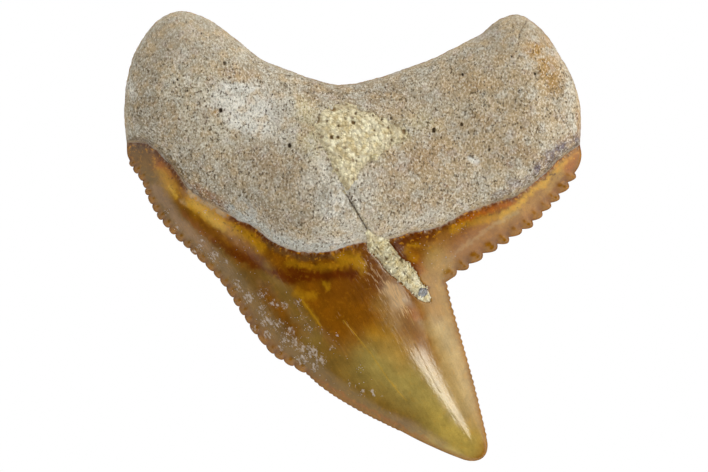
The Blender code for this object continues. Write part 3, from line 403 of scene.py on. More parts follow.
ENAMEL_WASHES = [
    Wash(Tint.MOSS, 2.0, ((1.6, -8.6), (3.8, -10.2), (6.4, -12.8)), 0.95),
    # Horn at the cusp's tip: partly the enamel's colour and partly painted reflection of the side
    # light.
    Wash(Tint.HORN, 1.2, ((5.0, -12.2), (7.4, -13.8)), 0.9),
    Wash(Tint.OLIVE, 1.2, ((-2.6, -7.4), (-0.6, -9.0), (1.6, -10.6), (4.0, -12.2)), 0.7),
    Wash(Tint.BRONZE, 0.7, ((-1.6, -9.6), (0.6, -10.8), (3.4, -12.4)), 0.75),
    Wash(Tint.GOLD, 0.8, ((1.6, -6.4), (2.4, -6.8), (3.4, -7.4)), 0.3),
    Wash(Tint.TAN, 0.7, ((2.2, -7.4), (3.2, -8.4)), 0.5),
    # Tan and pale tan down the cusp's right flank: partly the enamel's colour and partly painted
    # reflection of the bright surroundings on the right.
    Wash(Tint.TAN, 1.25, ((5.6, -1.6), (5.6, -4.4), (6.2, -6.8), (6.9, -9.4), (7.5, -11.6)), 0.9),
    Wash(Tint.PALE_TAN, 0.7, ((5.8, -6.0), (6.5, -9.0), (7.3, -12.0)), 0.5),
    Wash(Tint.RUST, 0.7, ((5.0, -3.2), (5.2, -4.4), (5.4, -5.2)), 0.28),
    Wash(Tint.PALE_TAN, 0.6, ((5.0, -5.6), (6.6, -7.4), (7.3, -9.6), (7.7, -11.2)), 0.35),
    Wash(Tint.ROSE, 0.5, ((4.9, -0.2), (5.7, -0.3), (6.6, 0.2)), 0.45),
    Wash(Tint.DEEP_AMBER, 1.0, ((-1.4, -3.4), (-0.2, -3.2), (0.8, -3.4)), 0.6),
    Wash(Tint.OLIVE, 0.6, ((-5.7, -2.3), (-4.6, -3.6), (-3.6, -5.2), (-2.6, -6.6)), 0.7),
    # The grey-olive and lilac bands along the shoulder and blade are partly the enamel's own tone
    # and partly painted reflection of light from the lower left.
    Wash(Tint.GREY_OLIVE, 0.75, ((-13.6, 4.1), (-12.3, 2.0), (-10.8, 0.2), (-9.0, -1.4),
                                 (-7.2, -3.3), (-5.9, -5.2), (-4.4, -7.0), (-2.4, -8.6))),
    Wash(Tint.LILAC, 0.36, ((-13.0, 3.1), (-12.3, 2.2), (-11.5, 1.05), (-10.0, -0.45),
                            (-9.1, -1.3), (-8.2, -2.3)), 0.85),
    Wash(Tint.GREY_OLIVE, 0.9, ((-8.9, -1.6), (-7.6, -2.6), (-6.6, -3.0)), 0.7),
    Wash(Tint.LILAC, 0.3, ((-6.0, -3.0), (-4.9, -4.0), (-3.9, -5.2), (-2.9, -6.6)), 0.3),
    Wash(Tint.ROSE, 0.6, ((1.7, -2.9), (2.2, -3.6), (2.8, -4.8)), 0.12),
    Wash(Tint.TAN, 0.3, ((13.75, 4.21), (12.96, 3.29), (12.11, 2.43), (11.12, 1.71),
                         (9.74, 0.79)), 0.6),
    Wash(Tint.ROSE, 0.55, ((12.3, 2.6), (11.0, 1.2), (9.4, 0.5), (8.0, -0.2), (7.0, -0.9)), 0.6),
    # A thin pale tan line along the heel is a painted highlight on its ridge.
    Wash(Tint.PALE_TAN, 0.13, ((10.8, 1.6), (8.8, 0.4), (7.1, -0.8), (5.9, -1.9)), 0.42),
    Wash(Tint.PEARL, 0.1, ((1.35, -1.35), (1.9, -2.05), (2.35, -2.6)), 0.6),
    Wash(Tint.UMBER, 0.6, ((0.9, -1.6), (1.3, -2.3), (1.7, -3.0)), 0.5),
    Wash(Tint.RUST, 0.6, ((5.6, -2.2), (6.4, -1.2), (7.6, 0.1), (8.6, 0.7)), 0.35),
    Wash(Tint.TAN, 0.7, ((5.4, -1.6), (6.0, -2.2)), 0.5),
    Wash(Tint.TAN, 0.7, ((1.9, -4.4), (2.7, -5.8)), 0.45),
    Wash(Tint.BRONZE, 0.6, ((3.5, -4.9), (3.9, -6.0)), 0.25),
    # Pearl on the upper cusp is a painted reflection: the pale smear over scratched enamel.
    Wash(Tint.PEARL, 0.55, ((2.5, -3.5), (3.1, -4.4)), 0.6),
    # Pearl along the cusp's crest is a painted highlight where the key light reflects.
    Wash(Tint.PEARL, 0.4, ((4.4, -7.9), (5.8, -10.2), (7.0, -12.3)), 0.22),
    Wash(Tint.ORANGE, 0.35, ((3.7, -4.9), (4.3, -5.3)), 0.45),
    Wash(Tint.ORANGE, 0.3, ((-13.2, 5.2), (-12.7, 4.7), (-12.1, 4.0)), 0.8),
    # Gold and honey on the bump at the left end of the neck: the enamel's golden colour with a
    # painted highlight on the bump.
    Wash(Tint.GOLD, 0.42, ((-12.6, 4.2), (-12.1, 3.4), (-11.7, 2.8)), 0.7),
    Wash(Tint.HONEY, 0.13, ((-11.9, 3.1), (-11.7, 2.7)), 0.8),
    Wash(Tint.PEARL, 0.2, ((-11.1, 2.35), (-10.8, 2.1)), 0.7),
    Wash(Tint.GOLD, 0.5, ((-10.6, 2.4), (-9.6, 1.6), (-8.8, 1.1), (-8.1, 0.6))),
    Wash(Tint.HONEY, 0.3, ((-10.6, 2.1), (-9.9, 1.6), (-9.2, 1.0), (-8.6, 0.6)), 0.75),
    # Pearl along the lip: crushed enamel with a painted highlight on its ridge.
    Wash(Tint.PEARL, 0.12, ((-10.9, 3.0), (-9.9, 2.3), (-9.0, 1.8), (-8.3, 1.35)), 0.9),
    Wash(Tint.ROSE, 0.2, ((-8.35, 0.6), (-7.9, 0.0), (-7.6, -0.5)), 0.7),
    Wash(Tint.GOLD, 0.4, ((-7.6, 0.4), (-6.8, -0.1), (-6.1, -0.8)), 0.65),
    Wash(Tint.RUST, 0.25, ((-8.2, 1.2), (-7.3, 0.75), (-6.5, 0.35), (-5.8, -0.2)), 0.75),
    Wash(Tint.STAIN, 0.25, ((-5.9, -0.15), (-5.0, -0.8), (-3.6, -1.35), (-2.0, -1.35),
                            (-1.2, -1.3)), 0.6),
    Wash(Tint.GOLD, 0.24, ((-4.2, -1.75), (-3.36, -1.91), (-2.7, -2.04), (-1.71, -2.11),
                          (-0.72, -1.91), (0.3, -1.6), (0.7, -1.9)), 0.45),
    Wash(Tint.GOLD, 0.4, ((-0.8, -1.4), (0.2, -1.5), (0.6, -2.0)), 0.6),
    Wash(Tint.BRONZE, 0.5, ((-4.6, -3.9), (-3.9, -4.6), (-2.7, -5.6)), 0.6),
    Wash(Tint.GOLD, 0.25, ((-3.68, -3.72), (-3.22, -3.88), (-2.63, -4.01)), 0.45),
    Wash(Tint.GOLD, 0.12, ((-3.49, -4.01), (-2.7, -5.07), (-2.17, -5.86)), 0.6),
    Wash(Tint.GOLD, 0.16, ((-1.78, -3.09), (-1.58, -3.49)), 0.6),
    Wash(Tint.UMBER, 0.36, ((-5.0, -2.4), (-4.67, -2.7), (-4.08, -2.83), (-3.36, -2.76),
                            (-2.7, -2.63), (-2.04, -2.57), (-1.05, -2.5), (0.0, -2.57))),
    Wash(Tint.UMBER, 0.3, ((-4.1, -2.2), (-3.4, -2.4)), 0.8),
    Wash(Tint.RUST, 0.16, ((-11.05, 1.5), (-10.53, 0.9), (-9.87, 0.23), (-9.14, -0.36)), 0.6),
    Wash(Tint.UMBER, 0.24, ((-9.14, -0.36), (-8.22, -0.92), (-7.37, -1.32), (-6.51, -1.91),
                            (-5.33, -2.43)), 0.65),
    Wash(Tint.UMBER, 0.4, ((-7.6, -1.0), (-6.9, -1.4), (-6.2, -1.8)), 0.6),
    Wash(Tint.AMBER, 0.7, ((3.4, -0.7), (4.2, -1.3)), 0.8),
    Wash(Tint.HONEY, 0.22, ((14.67, 5.66), (14.28, 5.2), (13.42, 4.41), (12.43, 3.42),
                            (11.51, 2.7), (10.86, 2.04), (10.2, 1.58), (9.67, 1.3)), 0.7),
    Wash(Tint.ORANGE, 0.24, ((7.0, 1.0), (8.22, 1.5), (9.4, 1.95), (10.4, 2.3)), 0.85),
    Wash(Tint.UMBER, 0.4, ((2.9, -0.5), (3.62, -0.33), (4.41, -0.1), (5.07, 0.1)), 0.75),
    Wash(Tint.GOLD, 0.16, ((3.6, -0.6), (4.2, -0.55)), 0.6),
    Wash(Tint.UMBER, 0.28, ((2.7, -0.7), (3.26, -1.18), (3.78, -1.71), (4.28, -2.24)), 0.85),
    Wash(Tint.ORANGE, 0.3, ((3.9, -1.2), (4.3, -1.7), (4.6, -2.3)), 0.35),
    Wash(Tint.GOLD, 0.25, ((3.5, -1.0), (4.1, -1.5)), 0.4),
    Wash(Tint.UMBER, 0.13, ((4.87, -3.36), (5.03, -3.82)), 0.9),
    Wash(Tint.UMBER, 0.16, ((1.51, -1.71), (1.97, -1.97), (2.57, -2.5)), 0.5),
    Wash(Tint.BRONZE, 0.6, ((-14.61, 5.86), (-14.14, 5.4), (-13.5, 4.9)), 0.9),
    Wash(Tint.STAIN, 0.45, ((-14.6, 6.1), (-13.9, 5.9), (-13.1, 5.5)), 0.45),
    Wash(Tint.UMBER, 0.6, ((-14.5, 5.8), (-13.9, 5.3), (-13.2, 4.8)), 0.3),
    Wash(Tint.ORANGE, 0.5, ((14.7, 5.5), (14.2, 4.4)), 0.4),
    # Honey on the same bump: painted highlight.
    Wash(Tint.HONEY, 0.16, ((-12.0, 3.3), (-11.6, 2.6)), 0.8),
    Wash(Tint.HONEY, 0.14, ((-10.4, 1.9), (-9.8, 1.5), (-9.2, 1.1)), 0.6),
    Wash(Tint.GOLD, 0.3, ((6.6, 0.5), (8.0, 0.9), (9.2, 1.2)), 0.6),
    Wash(Tint.ORANGE, 0.1, ((-2.3, -9.47), (-0.53, -10.53), (1.45, -11.64), (3.42, -12.7),
                             (4.93, -13.42)), 0.45),
    # Lilac along the long edge near the tip: partly the enamel's tone and partly painted reflection
    # of light from the lower left.
    Wash(Tint.LILAC, 0.3, ((2.8, -11.9), (4.6, -12.9), (6.0, -13.6)), 0.35),
]


# The flat outer face has the crown's lower strokes, and its own round its neck
OUTER_WASHES = [wash for wash in ENAMEL_WASHES if max(y for _, y in wash.line) < -2.4] + [
    Wash(Tint.BRONZE, 2.2, tuple((x, y - 2.4) for x, y in OUTER_NECK_LINE[1:-1]), 0.6),
    Wash(Tint.GOLD, 0.6, tuple((x, y - 0.8) for x, y in OUTER_NECK_LINE), 0.6),
]


@dataclass(frozen=True)
class Hairline:
    """A fine crack or scratch: half its width, its depth, how dark it is, and its line."""

    width: float
    depth: float
    dark: float
    line: tuple[Point, ...]
    tint: Tint = Tint.STAIN
    strength: float = 0.0

    def share(self, places: np.ndarray) -> np.ndarray:
        """How far each place is in it, from 0 to 1."""
        away = near_segments(places, self.line) + 0.5 * self.width * relief(places, 0.16, 9.1)
        return bell(away / self.width)


HAIRLINES = [
    Hairline(0.065, 0.08, 0.6, ((-0.63, 2.93), (-0.39, 2.63), (-0.13, 2.17), (0.1, 1.85)),
             strength=0.9),
    Hairline(0.08, 0.1, 0.75, ((0.1, 1.85), (0.25, 1.58), (0.53, 1.09), (0.86, 0.53), (1.05, 0.26)),
             strength=0.9),
    Hairline(0.05, 0.06, 0.8, ((11.45, 14.14), (11.18, 13.75), (10.95, 13.36), (10.89, 12.98))),
    Hairline(0.026, 0.008, 0.0, ((-0.59, -5.59), (0.2, -6.51), (1.12, -7.63), (2.34, -9.45),
                                 (2.96, -10.2), (3.49, -10.79)), Tint.HONEY, 0.7),
    Hairline(0.03, 0.01, 0.0, ((-3.4, -4.2), (-2.75, -5.0), (-2.17, -5.9)), Tint.GOLD, 0.7),
    Hairline(0.022, 0.006, 0.0, ((4.01, -7.11), (4.6, -8.2), (5.3, -9.6), (5.7, -10.3)),
             Tint.GREY_OLIVE, 0.7),
    Hairline(0.03, 0.008, 0.0, ((3.3, -4.5), (3.7, -5.2), (4.0, -5.8)), Tint.TAN, 0.6),
    Hairline(0.03, 0.008, 0.0, ((-3.8, -4.25), (-3.25, -5.5), (-2.7, -6.25)), Tint.LILAC, 0.7),
]


# Lines in plan


def length_of(line: np.ndarray) -> float:
    """Length of a line of points."""
    return float(np.hypot(*np.diff(line, axis=0).T).sum())


def at_lengths(line: np.ndarray, shares: Sequence[float] | np.ndarray) -> np.ndarray:
    """The line's points at these shares of its length.

    Args:
        line: The line's points.
        shares: Shares of its length, from 0 to 1.

    Returns:
        One point for each share.
    """
    run = np.append(0, np.cumsum(np.hypot(*np.diff(line, axis=0).T)))
    where = np.array(shares) * run[-1]
    return np.column_stack([np.interp(where, run, column) for column in line.T])


def smooth_curve(points: Sequence[Point], step: float, loop: bool = False) -> np.ndarray:
    """A smooth curve through the points, read off about every step.

    Args:
        points: The points that the curve passes through.
        step: Distance between two points of the result.
        loop: Whether the curve runs back to its first point.

    Returns:
        The curve's points, with the first again at the end of a loop.
    """
    fixed = np.array(points, float)
    if loop:
        chain = np.vstack([fixed[-1], fixed, fixed[:2]])
    else:
        chain = np.vstack([2 * fixed[0] - fixed[1], fixed, 2 * fixed[-1] - fixed[-2]])
    dense = []
    for a, b, c, d in zip(chain, chain[1:], chain[2:], chain[3:]):
        for t in np.linspace(0, 1, 24, endpoint=False):
            dense.append(
                0.5 * (2 * b + (c - a) * t + (2 * a - 5 * b + 4 * c - d) * t**2
                       + (3 * b - a - 3 * c + d) * t**3)
            )
    dense = np.array(dense + [chain[-2]])
    count = max(2, round(length_of(dense) / step) + 1)
    return at_lengths(dense, np.linspace(0, 1, count))


def outward_of(line: np.ndarray) -> np.ndarray:
    """Unit vectors to the left of a line that runs clockwise round the tooth.

    Args:
        line: The line's points.

    Returns:
        One vector for each point.
    """
    along = np.gradient(line, axis=0)
    along /= np.hypot(*along.T)[:, None]
    return np.column_stack([-along[:, 1], along[:, 0]])


def tooth_starts(length: float, teeth: Teeth) -> np.ndarray:
    """Shares of the length where the teeth start, and where the last one ends.

    Args:
        length: Length of the toothed line.
        teeth: Spacing and standout of the first and of the last tooth.

    Returns:
        The shares, one more than there are teeth.
    """
    (first, _), (last, _) = teeth
    count = round(2 * length / (first + last))
    chance = np.random.default_rng(count).uniform(-1, 1, count)
    widths = np.linspace(first, last, count) * (1 + UNEVEN_SPACING * chance)
    return np.append(0, np.cumsum(widths)) / widths.sum()


def toothed_edge(
    points: Sequence[Point], teeth: Teeth, outline: Sequence[Point]
) -> np.ndarray:
    """A cutting edge: valleys on the curve, and a tooth standing out between each two.

    Args:
        points: The points of the curve through the valleys.
        teeth: Spacing and standout of the first and of the last tooth.
        outline: One tooth's points, as shares of its spacing and standout.

    Returns:
        The edge's points, from valley to valley.
    """
    curve = smooth_curve(points, FINE_STEP)
    starts = tooth_starts(length_of(curve), teeth)
    (_, first), (_, last) = teeth
    uneven = 1 + UNEVEN_STAND * np.random.default_rng(7).uniform(-1, 1, len(starts))
    shares, stands = [], []
    for start, end, size in zip(starts, starts[1:], uneven):
        for place, stand in outline:
            shares.append(start + (end - start) * place)
            stands.append(stand * size * (first + (last - first) * start))
    base = at_lengths(curve, shares + [1.0])
    return base + outward_of(base) * np.array(stands + [0.0])[:, None]


def joined(lines: Sequence[np.ndarray]) -> np.ndarray:
    """One line from lines that each start where the last one ended."""
    return np.vstack([line[:-1] for line in lines[:-1]] + [lines[-1]])


def closed(loop: np.ndarray) -> np.ndarray:
    """A loop with its first point again at its end."""
    return np.vstack([loop, loop[:1]])


def smooth_loop(loop: np.ndarray) -> np.ndarray:
    """A loop with its sharpest kinks eased."""
    return (np.roll(loop, 1, 0) + 2 * loop + np.roll(loop, -1, 0)) / 4


def inside(places: np.ndarray, loop: np.ndarray) -> np.ndarray:
    """Whether each place is inside a closed loop of points.

    Args:
        places: The places.
        loop: The loop's points.

    Returns:
        True for each place inside.
    """
    ax, ay = loop[:, 0], loop[:, 1]
    bx, by = np.roll(ax, -1), np.roll(ay, -1)
    level = by == ay
    slope = (bx - ax) / np.where(level, 1, by - ay)
    found = []
    for block in np.array_split(places, max(1, len(places) // BLOCK)):
        x, y = block[:, 0:1], block[:, 1:2]
        crossing = ((ay > y) != (by > y)) & (x < ax + (y - ay) * slope)
        found.append(crossing.sum(1) % 2 == 1)
    return np.concatenate(found)


def quarter_round(share: np.ndarray) -> np.ndarray:
    """Height of a rounded edge, 0 at the edge and 1 from share 1 on."""
    return np.sqrt(1 - (1 - np.clip(share, 0, 1)) ** 2)


def bell(share: np.ndarray) -> np.ndarray:
    """1 where the share is 0, and close to 0 from 2 on."""
    return np.exp(-(share**2))


def ease(share: np.ndarray) -> np.ndarray:
    """A smooth step from 0 to 1."""
    share = np.clip(share, 0, 1)
    return share * share * (3 - 2 * share)


def relief(places: np.ndarray, length: float, seed: float) -> np.ndarray:
    """Smooth lumps and hollows of about this length, from -1 to 1."""
    spots = np.column_stack([places / length, np.full(len(places), seed)])
    return np.array([noise.noise(Vector(spot)) for spot in spots.tolist()])


def near_segments(places: np.ndarray, line: Sequence[Point]) -> np.ndarray:
    """Distance from each place to a short line, or to a single point.

    Args:
        places: The places.
        line: The line's points.

    Returns:
        The distances.
    """
    points = np.array(line, float)
    if len(points) == 1:
        return np.hypot(*(places - points[0]).T)
    best = np.full(len(places), np.inf)
    for start, end in zip(points, points[1:]):
        along = end - start
        share = np.clip(((places - start) @ along) / (along @ along), 0, 1)
        best = np.minimum(best, np.hypot(*(places - start - share[:, None] * along).T))
    return best


def highest(parts: Iterable[np.ndarray]) -> np.ndarray:
    """The highest of the parts at each place."""
    return reduce(np.maximum, parts)


def near_spots(places: np.ndarray, spots: Sequence[Spot]) -> np.ndarray:
    """How near each place is to the middle of a spot, from 0 to 1."""
    return highest(bell(np.hypot(*(places - (x, y)).T) / reach) for x, y, reach in spots)


class Track:
    """A line of points that tells how far places are from it."""

    STEP = 0.02

    def __init__(self, line: np.ndarray) -> None:
        """Spread points along the line and sort them for quick search.

        Args:
            line: The line's points.
        """
        parts = []
        for start, end in zip(line, line[1:]):
            count = max(1, math.ceil(math.dist(start, end) / self.STEP))
            parts.append(start + (end - start) * np.arange(count)[:, None] / count)
        self.points = np.vstack([*parts, line[-1:]])
        self.tree = KDTree(len(self.points))
        for number, (x, y) in enumerate(self.points.tolist()):
            self.tree.insert((x, y, 0), number)
        self.tree.balance()

    def nearest(self, places: np.ndarray) -> tuple[np.ndarray, np.ndarray]:
        """Distance from each place, and the share of the line's length it is nearest to.

        Args:
            places: The places.

        Returns:
            The distances and the shares.
        """
        found = [self.tree.find((x, y, 0)) for x, y in places.tolist()]
        away = np.array([hit[2] for hit in found])
        number = np.array([hit[1] for hit in found])
        return np.where(away < ON_LINE, 0, away), number / (len(self.points) - 1)

    def distance(self, places: np.ndarray) -> np.ndarray:
        """Distance from each place."""
        return self.nearest(places)[0]


# The tooth's form


@dataclass
class ToothForm:
    """The tooth's outline in plan, and the sizes that its two faces follow."""

    cutting_edge_height: float = 0.75
    root_margin_height: float = 2.1
    root_height: float = 4.3
    root_margin_round: float = 3.0
    root_lip_step: float = 0.35
    root_lip_rise: float = 0.15
    root_lip_round: float = 2.6
    crown_slope: float = 0.44
    crown_fullness: float = 22.0
    crease_depth: float = 0.16
    crease_width: float = 0.8
    crease_fade: float = 1.5
    heel_ridge_height: float = 0.045
    heel_ridge_start: float = 0.25
    heel_ridge_reach: float = 1.0
    knob_ridge_height: float = 0.05
    knob_ridge_start: float = 0.12
    knob_ridge_reach: float = 0.4
    split_swell_height: float = 0.2
    split_swell_reach: float = 1.5
    split_swell_line: tuple[Point, Point] = ((3.0, -2.6), (4.6, -5.4))
    relief_height: float = 0.09
    relief_length: float = 1.7
    relief_seed: float = 3.7
    relief_fade: float = 1.2
    outer_edge_round: float = 1.8
    outer_root_round: float = 2.6
    outer_step: float = 0.25
    outer_step_rise: float = 0.2
    outer_step_width: float = 0.9
    outer_arch: float = 0.4
    outer_arch_place: Point = (-0.4, 9.0)
    outer_arch_reach: Point = (4.5, 3.0)
    bed_depth: float = 0.3
    patch_bed_rise: float = 0.7
    fill_bed_rise: float = 0.12
    edge_step: float = 0.085
    sand_step: float = 0.1
    coarse_step: float = 0.3
    neck_step: float = 0.07
    neck_jitter: float = 0.07
    neck_jitter_length: float = 0.28
    root_jitter: float = 0.035

    def __post_init__(self) -> None:
        """Draw every line of the plan."""
        self.root_edge = self.worn(smooth_curve(ROOT_EDGE, self.edge_step), self.root_jitter)
        point = smooth_curve(CUSP_POINT, self.edge_step)
        middle = len(point) // 2
        self.short_side = joined([
            smooth_curve(HEEL_CORNER, self.edge_step),
            toothed_edge(HEEL_EDGE, HEEL_TEETH, SCALLOP),
            toothed_edge(CUSP_SHORT_EDGE, SHORT_EDGE_TEETH, FINE_TOOTH),
            point[: middle + 1],
        ])
        self.long_side = joined([
            point[middle:],
            smooth_curve(CUSP_LONG_EDGE, self.edge_step),
            toothed_edge(BLADE_EDGE, BLADE_TEETH, FINE_TOOTH),
            toothed_edge(SHOULDER_EDGE, SHOULDER_TEETH, BEAD),
            smooth_curve(SHOULDER_CORNER, self.edge_step),
        ])
        self.neck = self.worn(smooth_curve(NECK_LINE, self.neck_step), self.neck_jitter)
        self.outer_neck = smooth_curve(OUTER_NECK_LINE, self.coarse_step)
        self.heel = smooth_curve(HEEL_EDGE, FINE_STEP)
        self.shoulder = smooth_curve(SHOULDER_EDGE, FINE_STEP)
        self.patch = smooth_curve(SAND_PATCH_EDGE, self.sand_step, loop=True)[:-1]
        self.fill = smooth_curve(SAND_FILL_EDGE, self.sand_step, loop=True)[:-1]
        self.outline = joined([self.root_edge, self.short_side, self.long_side])[:-1]
        self.root_loop = np.vstack([self.root_edge, self.neck[::-1]])
        self.outer_root_loop = np.vstack([self.root_edge, self.outer_neck[::-1]])
        self.tracks = {
            "short_base": Track(joined([
                smooth_curve(HEEL_CORNER, FINE_STEP), self.heel,
                smooth_curve(CUSP_SHORT_EDGE, FINE_STEP), point[: middle + 1],
            ])),
            "long_base": Track(joined([
                point[middle:], smooth_curve(CUSP_LONG_EDGE, FINE_STEP),
                smooth_curve(BLADE_EDGE, FINE_STEP), self.shoulder,
                smooth_curve(SHOULDER_CORNER, FINE_STEP),
            ])),
            "root": Track(self.root_edge),
            "short": Track(self.short_side),
            "long": Track(self.long_side),
            "neck": Track(self.neck),
            "outer_neck": Track(self.outer_neck),
            "crease": Track(smooth_curve(CREASE_LINE, self.coarse_step)),
            "heel": Track(self.heel),
            "shoulder": Track(self.shoulder),
            "patch": Track(closed(self.patch)),
            "fill": Track(closed(self.fill)),
        }

    def worn(self, line: np.ndarray, depth: float) -> np.ndarray:
        """A line with the small bays that wear has left, and its ends as they were.

        Args:
            line: The line's points.
            depth: About how deep the bays are.

        Returns:
            The new points.
        """
        run = np.linspace(0, 1, len(line))
        fade = ease(np.minimum(run, 1 - run) / 0.03)
        bays = relief(line, self.neck_jitter_length, 5.1) + relief(line, 1.1, 2.4)
        return line + outward_of(line) * (bays * fade * depth)[:, None]


class Survey:
    """What the tooth's form has to say about a set of places in plan, each thing worked out once."""

    def __init__(self, form: ToothForm, places: np.ndarray) -> None:
        """Keep the places.

        Args:
            form: The tooth's form.
            places: Places in plan, one a row.
        """
        self.form = form
        self.places = places
        self.gaps: dict[str, np.ndarray] = {}
        self.waves: dict[str, tuple[np.ndarray, np.ndarray]] = {}

    def gap(self, line: str) -> np.ndarray:
        """Distance to one of the form's lines.

        Args:
            line: Name of the line.

        Returns:
            The distances.
        """
        if line not in self.gaps:
            self.gaps[line] = self.form.tracks[line].distance(self.places)
        return self.gaps[line]

    def eased_gap(self, side: str) -> np.ndarray:
        """Distance to a cutting side, which forgets the side's teeth further in."""
        away = self.gap(side)
        return away + (self.gap(f"{side}_base") - away) * ease((away - 0.1) / 0.7)

    @cached_property
    def to_rim(self) -> np.ndarray:
        """Distance to the rim, where the two faces meet."""
        return np.minimum(np.minimum(self.gap("root"), self.gap("short")), self.gap("long"))

    @cached_property
    def in_root(self) -> np.ndarray:
        """Whether the place is on the root's upper face."""
        return inside(self.places, self.form.root_loop) & (self.gap("neck") > 0)

    @cached_property
    def in_outer_root(self) -> np.ndarray:
        """Whether the place is on the root's outer face."""
        return inside(self.places, self.form.outer_root_loop)

    @cached_property
    def rim(self) -> np.ndarray:
        """Height of the rim where the two faces meet, thicker round the root."""
        form = self.form
        blend = ease(np.minimum(self.gap("short"), self.gap("long")) / form.root_margin_round)
        rise = form.root_margin_height - form.cutting_edge_height
        return form.cutting_edge_height + rise * blend

    @cached_property
    def crown_top(self) -> np.ndarray:
        """The enamel's domed upper face, carried on beneath the root."""
        form = self.form
        to_short, to_long = self.eased_gap("short"), self.eased_gap("long")
        fullness = 2 * to_short * to_long / np.maximum(to_short + to_long, ON_LINE)
        height = form.crown_slope * fullness / (1 + fullness / form.crown_fullness)
        in_crease = bell(self.gap("crease") / form.crease_width)
        height -= form.crease_depth * in_crease * ease(to_long / form.crease_fade)
        beside = near_segments(self.places, form.split_swell_line) / form.split_swell_reach
        height += form.split_swell_height * bell(beside) * ease(self.to_rim / 0.6)
        return form.cutting_edge_height + height + self.heel_ridges

    @cached_property
    def heel_ridges(self) -> np.ndarray:
        """Low ridges that run from the heel's teeth up the crown."""
        form = self.form
        away, wave = self.tooth_wave("heel", HEEL_TEETH)
        fade = ease(away / form.heel_ridge_start) * (1 - ease(away / form.heel_ridge_reach))
        height = form.heel_ridge_height * fade * wave
        away, wave = self.tooth_wave("shoulder", SHOULDER_TEETH)
        fade = ease(away / form.knob_ridge_start) * (1 - ease(away / form.knob_ridge_reach))
        return height + form.knob_ridge_height * fade * wave

    def tooth_wave(self, line: str, teeth: Teeth) -> tuple[np.ndarray, np.ndarray]:
        """Distance to a toothed line, and 1 beside its teeth and -1 beside its valleys.

        Args:
            line: Name of the line.
            teeth: Spacing and standout of its first and of its last tooth.

        Returns:
            The distances and the waves.
        """
        if line not in self.waves:
            away, share = self.form.tracks[line].nearest(self.places)
            starts = tooth_starts(length_of(getattr(self.form, line)), teeth)
            number = np.interp(share, starts, np.arange(len(starts)))
            self.waves[line] = away, -np.cos(2 * math.pi * number)
        return self.waves[line]

    @cached_property
    def root_top(self) -> np.ndarray:
        """The root's swollen upper face, rounded at its margin and at its lip on the enamel."""
        form = self.form
        x, y = self.places.T
        height = np.full(len(x), form.root_height)
        for middle_x, middle_y, reach_x, reach_y, rise in ROOT_SWELLINGS:
            height += rise * np.exp(
                -(((x - middle_x) / reach_x) ** 2) - ((y - middle_y) / reach_y) ** 2
            )
        to_margin, to_neck = self.gap("root"), self.gap("neck")
        step = ease(to_margin / form.root_margin_round) * ease(to_neck / form.root_lip_rise)
        lip = self.crown_top + form.root_lip_step * step
        at_margin = quarter_round(to_margin / form.root_margin_round)
        at_neck = quarter_round(to_neck / form.root_lip_round)
        surface = np.minimum(
            self.rim + (height - self.rim) * at_margin,
            lip + np.maximum(height - lip, 0) * at_neck,
        )
        fade = ease(np.minimum(to_margin, to_neck) / form.relief_fade)
        lumps = relief(self.places, form.relief_length, form.relief_seed)
        surface += form.relief_height * lumps * fade
        for middle_x, middle_y, radius, depth in ROOT_OPENINGS:
            away = np.hypot(x - middle_x, y - middle_y) / radius
            surface -= depth * (1 - ease(away))
        return surface

    @cached_property
    def upper_face(self) -> np.ndarray:
        """Height of the upper face as it would be with no bed for the sand in it."""
        surface = np.where(self.in_root, self.root_top, self.crown_top)
        return np.where(self.to_rim == 0, self.rim, surface)

    @cached_property
    def bedded_face(self) -> np.ndarray:
        """Height of the upper face, sunk a little under the sand and along fine cracks."""
        surface = self.upper_face.copy()
        form = self.form
        for name, rise in (("patch", form.patch_bed_rise), ("fill", form.fill_bed_rise)):
            into = np.where(inside(self.places, getattr(form, name)), self.gap(name), 0)
            surface -= form.bed_depth * ease(into / rise)
        for hairline in HAIRLINES:
            surface -= hairline.depth * hairline.share(self.places)
        return surface

    @cached_property
    def outer_face(self) -> np.ndarray:
        """Height of the flat outer face that the tooth lies on."""
        form = self.form
        round_in = np.where(self.in_outer_root, form.outer_root_round, form.outer_edge_round)
        surface = self.rim * (1 - quarter_round(self.to_rim / round_in))
        to_neck = self.gap("outer_neck")
        step = ease(to_neck / form.outer_step_rise) * (1 - ease(to_neck / form.outer_step_width))
        away = (self.places - form.outer_arch_place) / form.outer_arch_reach
        arch = form.outer_arch * (1 - ease(np.hypot(*away.T)))
        hollow = (form.outer_step * step + arch) * ease(self.to_rim / round_in)
        return np.where(self.in_outer_root, np.maximum(surface, hollow), surface)


# Meshes


def grid_points(loop: np.ndarray, spacing: float) -> np.ndarray:
    """A triangular grid over the inside of a loop.

    Args:
        loop: The loop's points.
        spacing: Distance between two points of the grid.

    Returns:
        The grid's points.
    """
    low, high = loop.min(0), loop.max(0)
    rows = np.arange(low[1], high[1], spacing * math.sqrt(3) / 2)
    columns = np.arange(low[0], high[0], spacing)
    grid = np.array([
        (x + spacing / 2 * (number % 2), y) for number, y in enumerate(rows) for x in columns
    ])
    return grid[inside(grid, loop)]


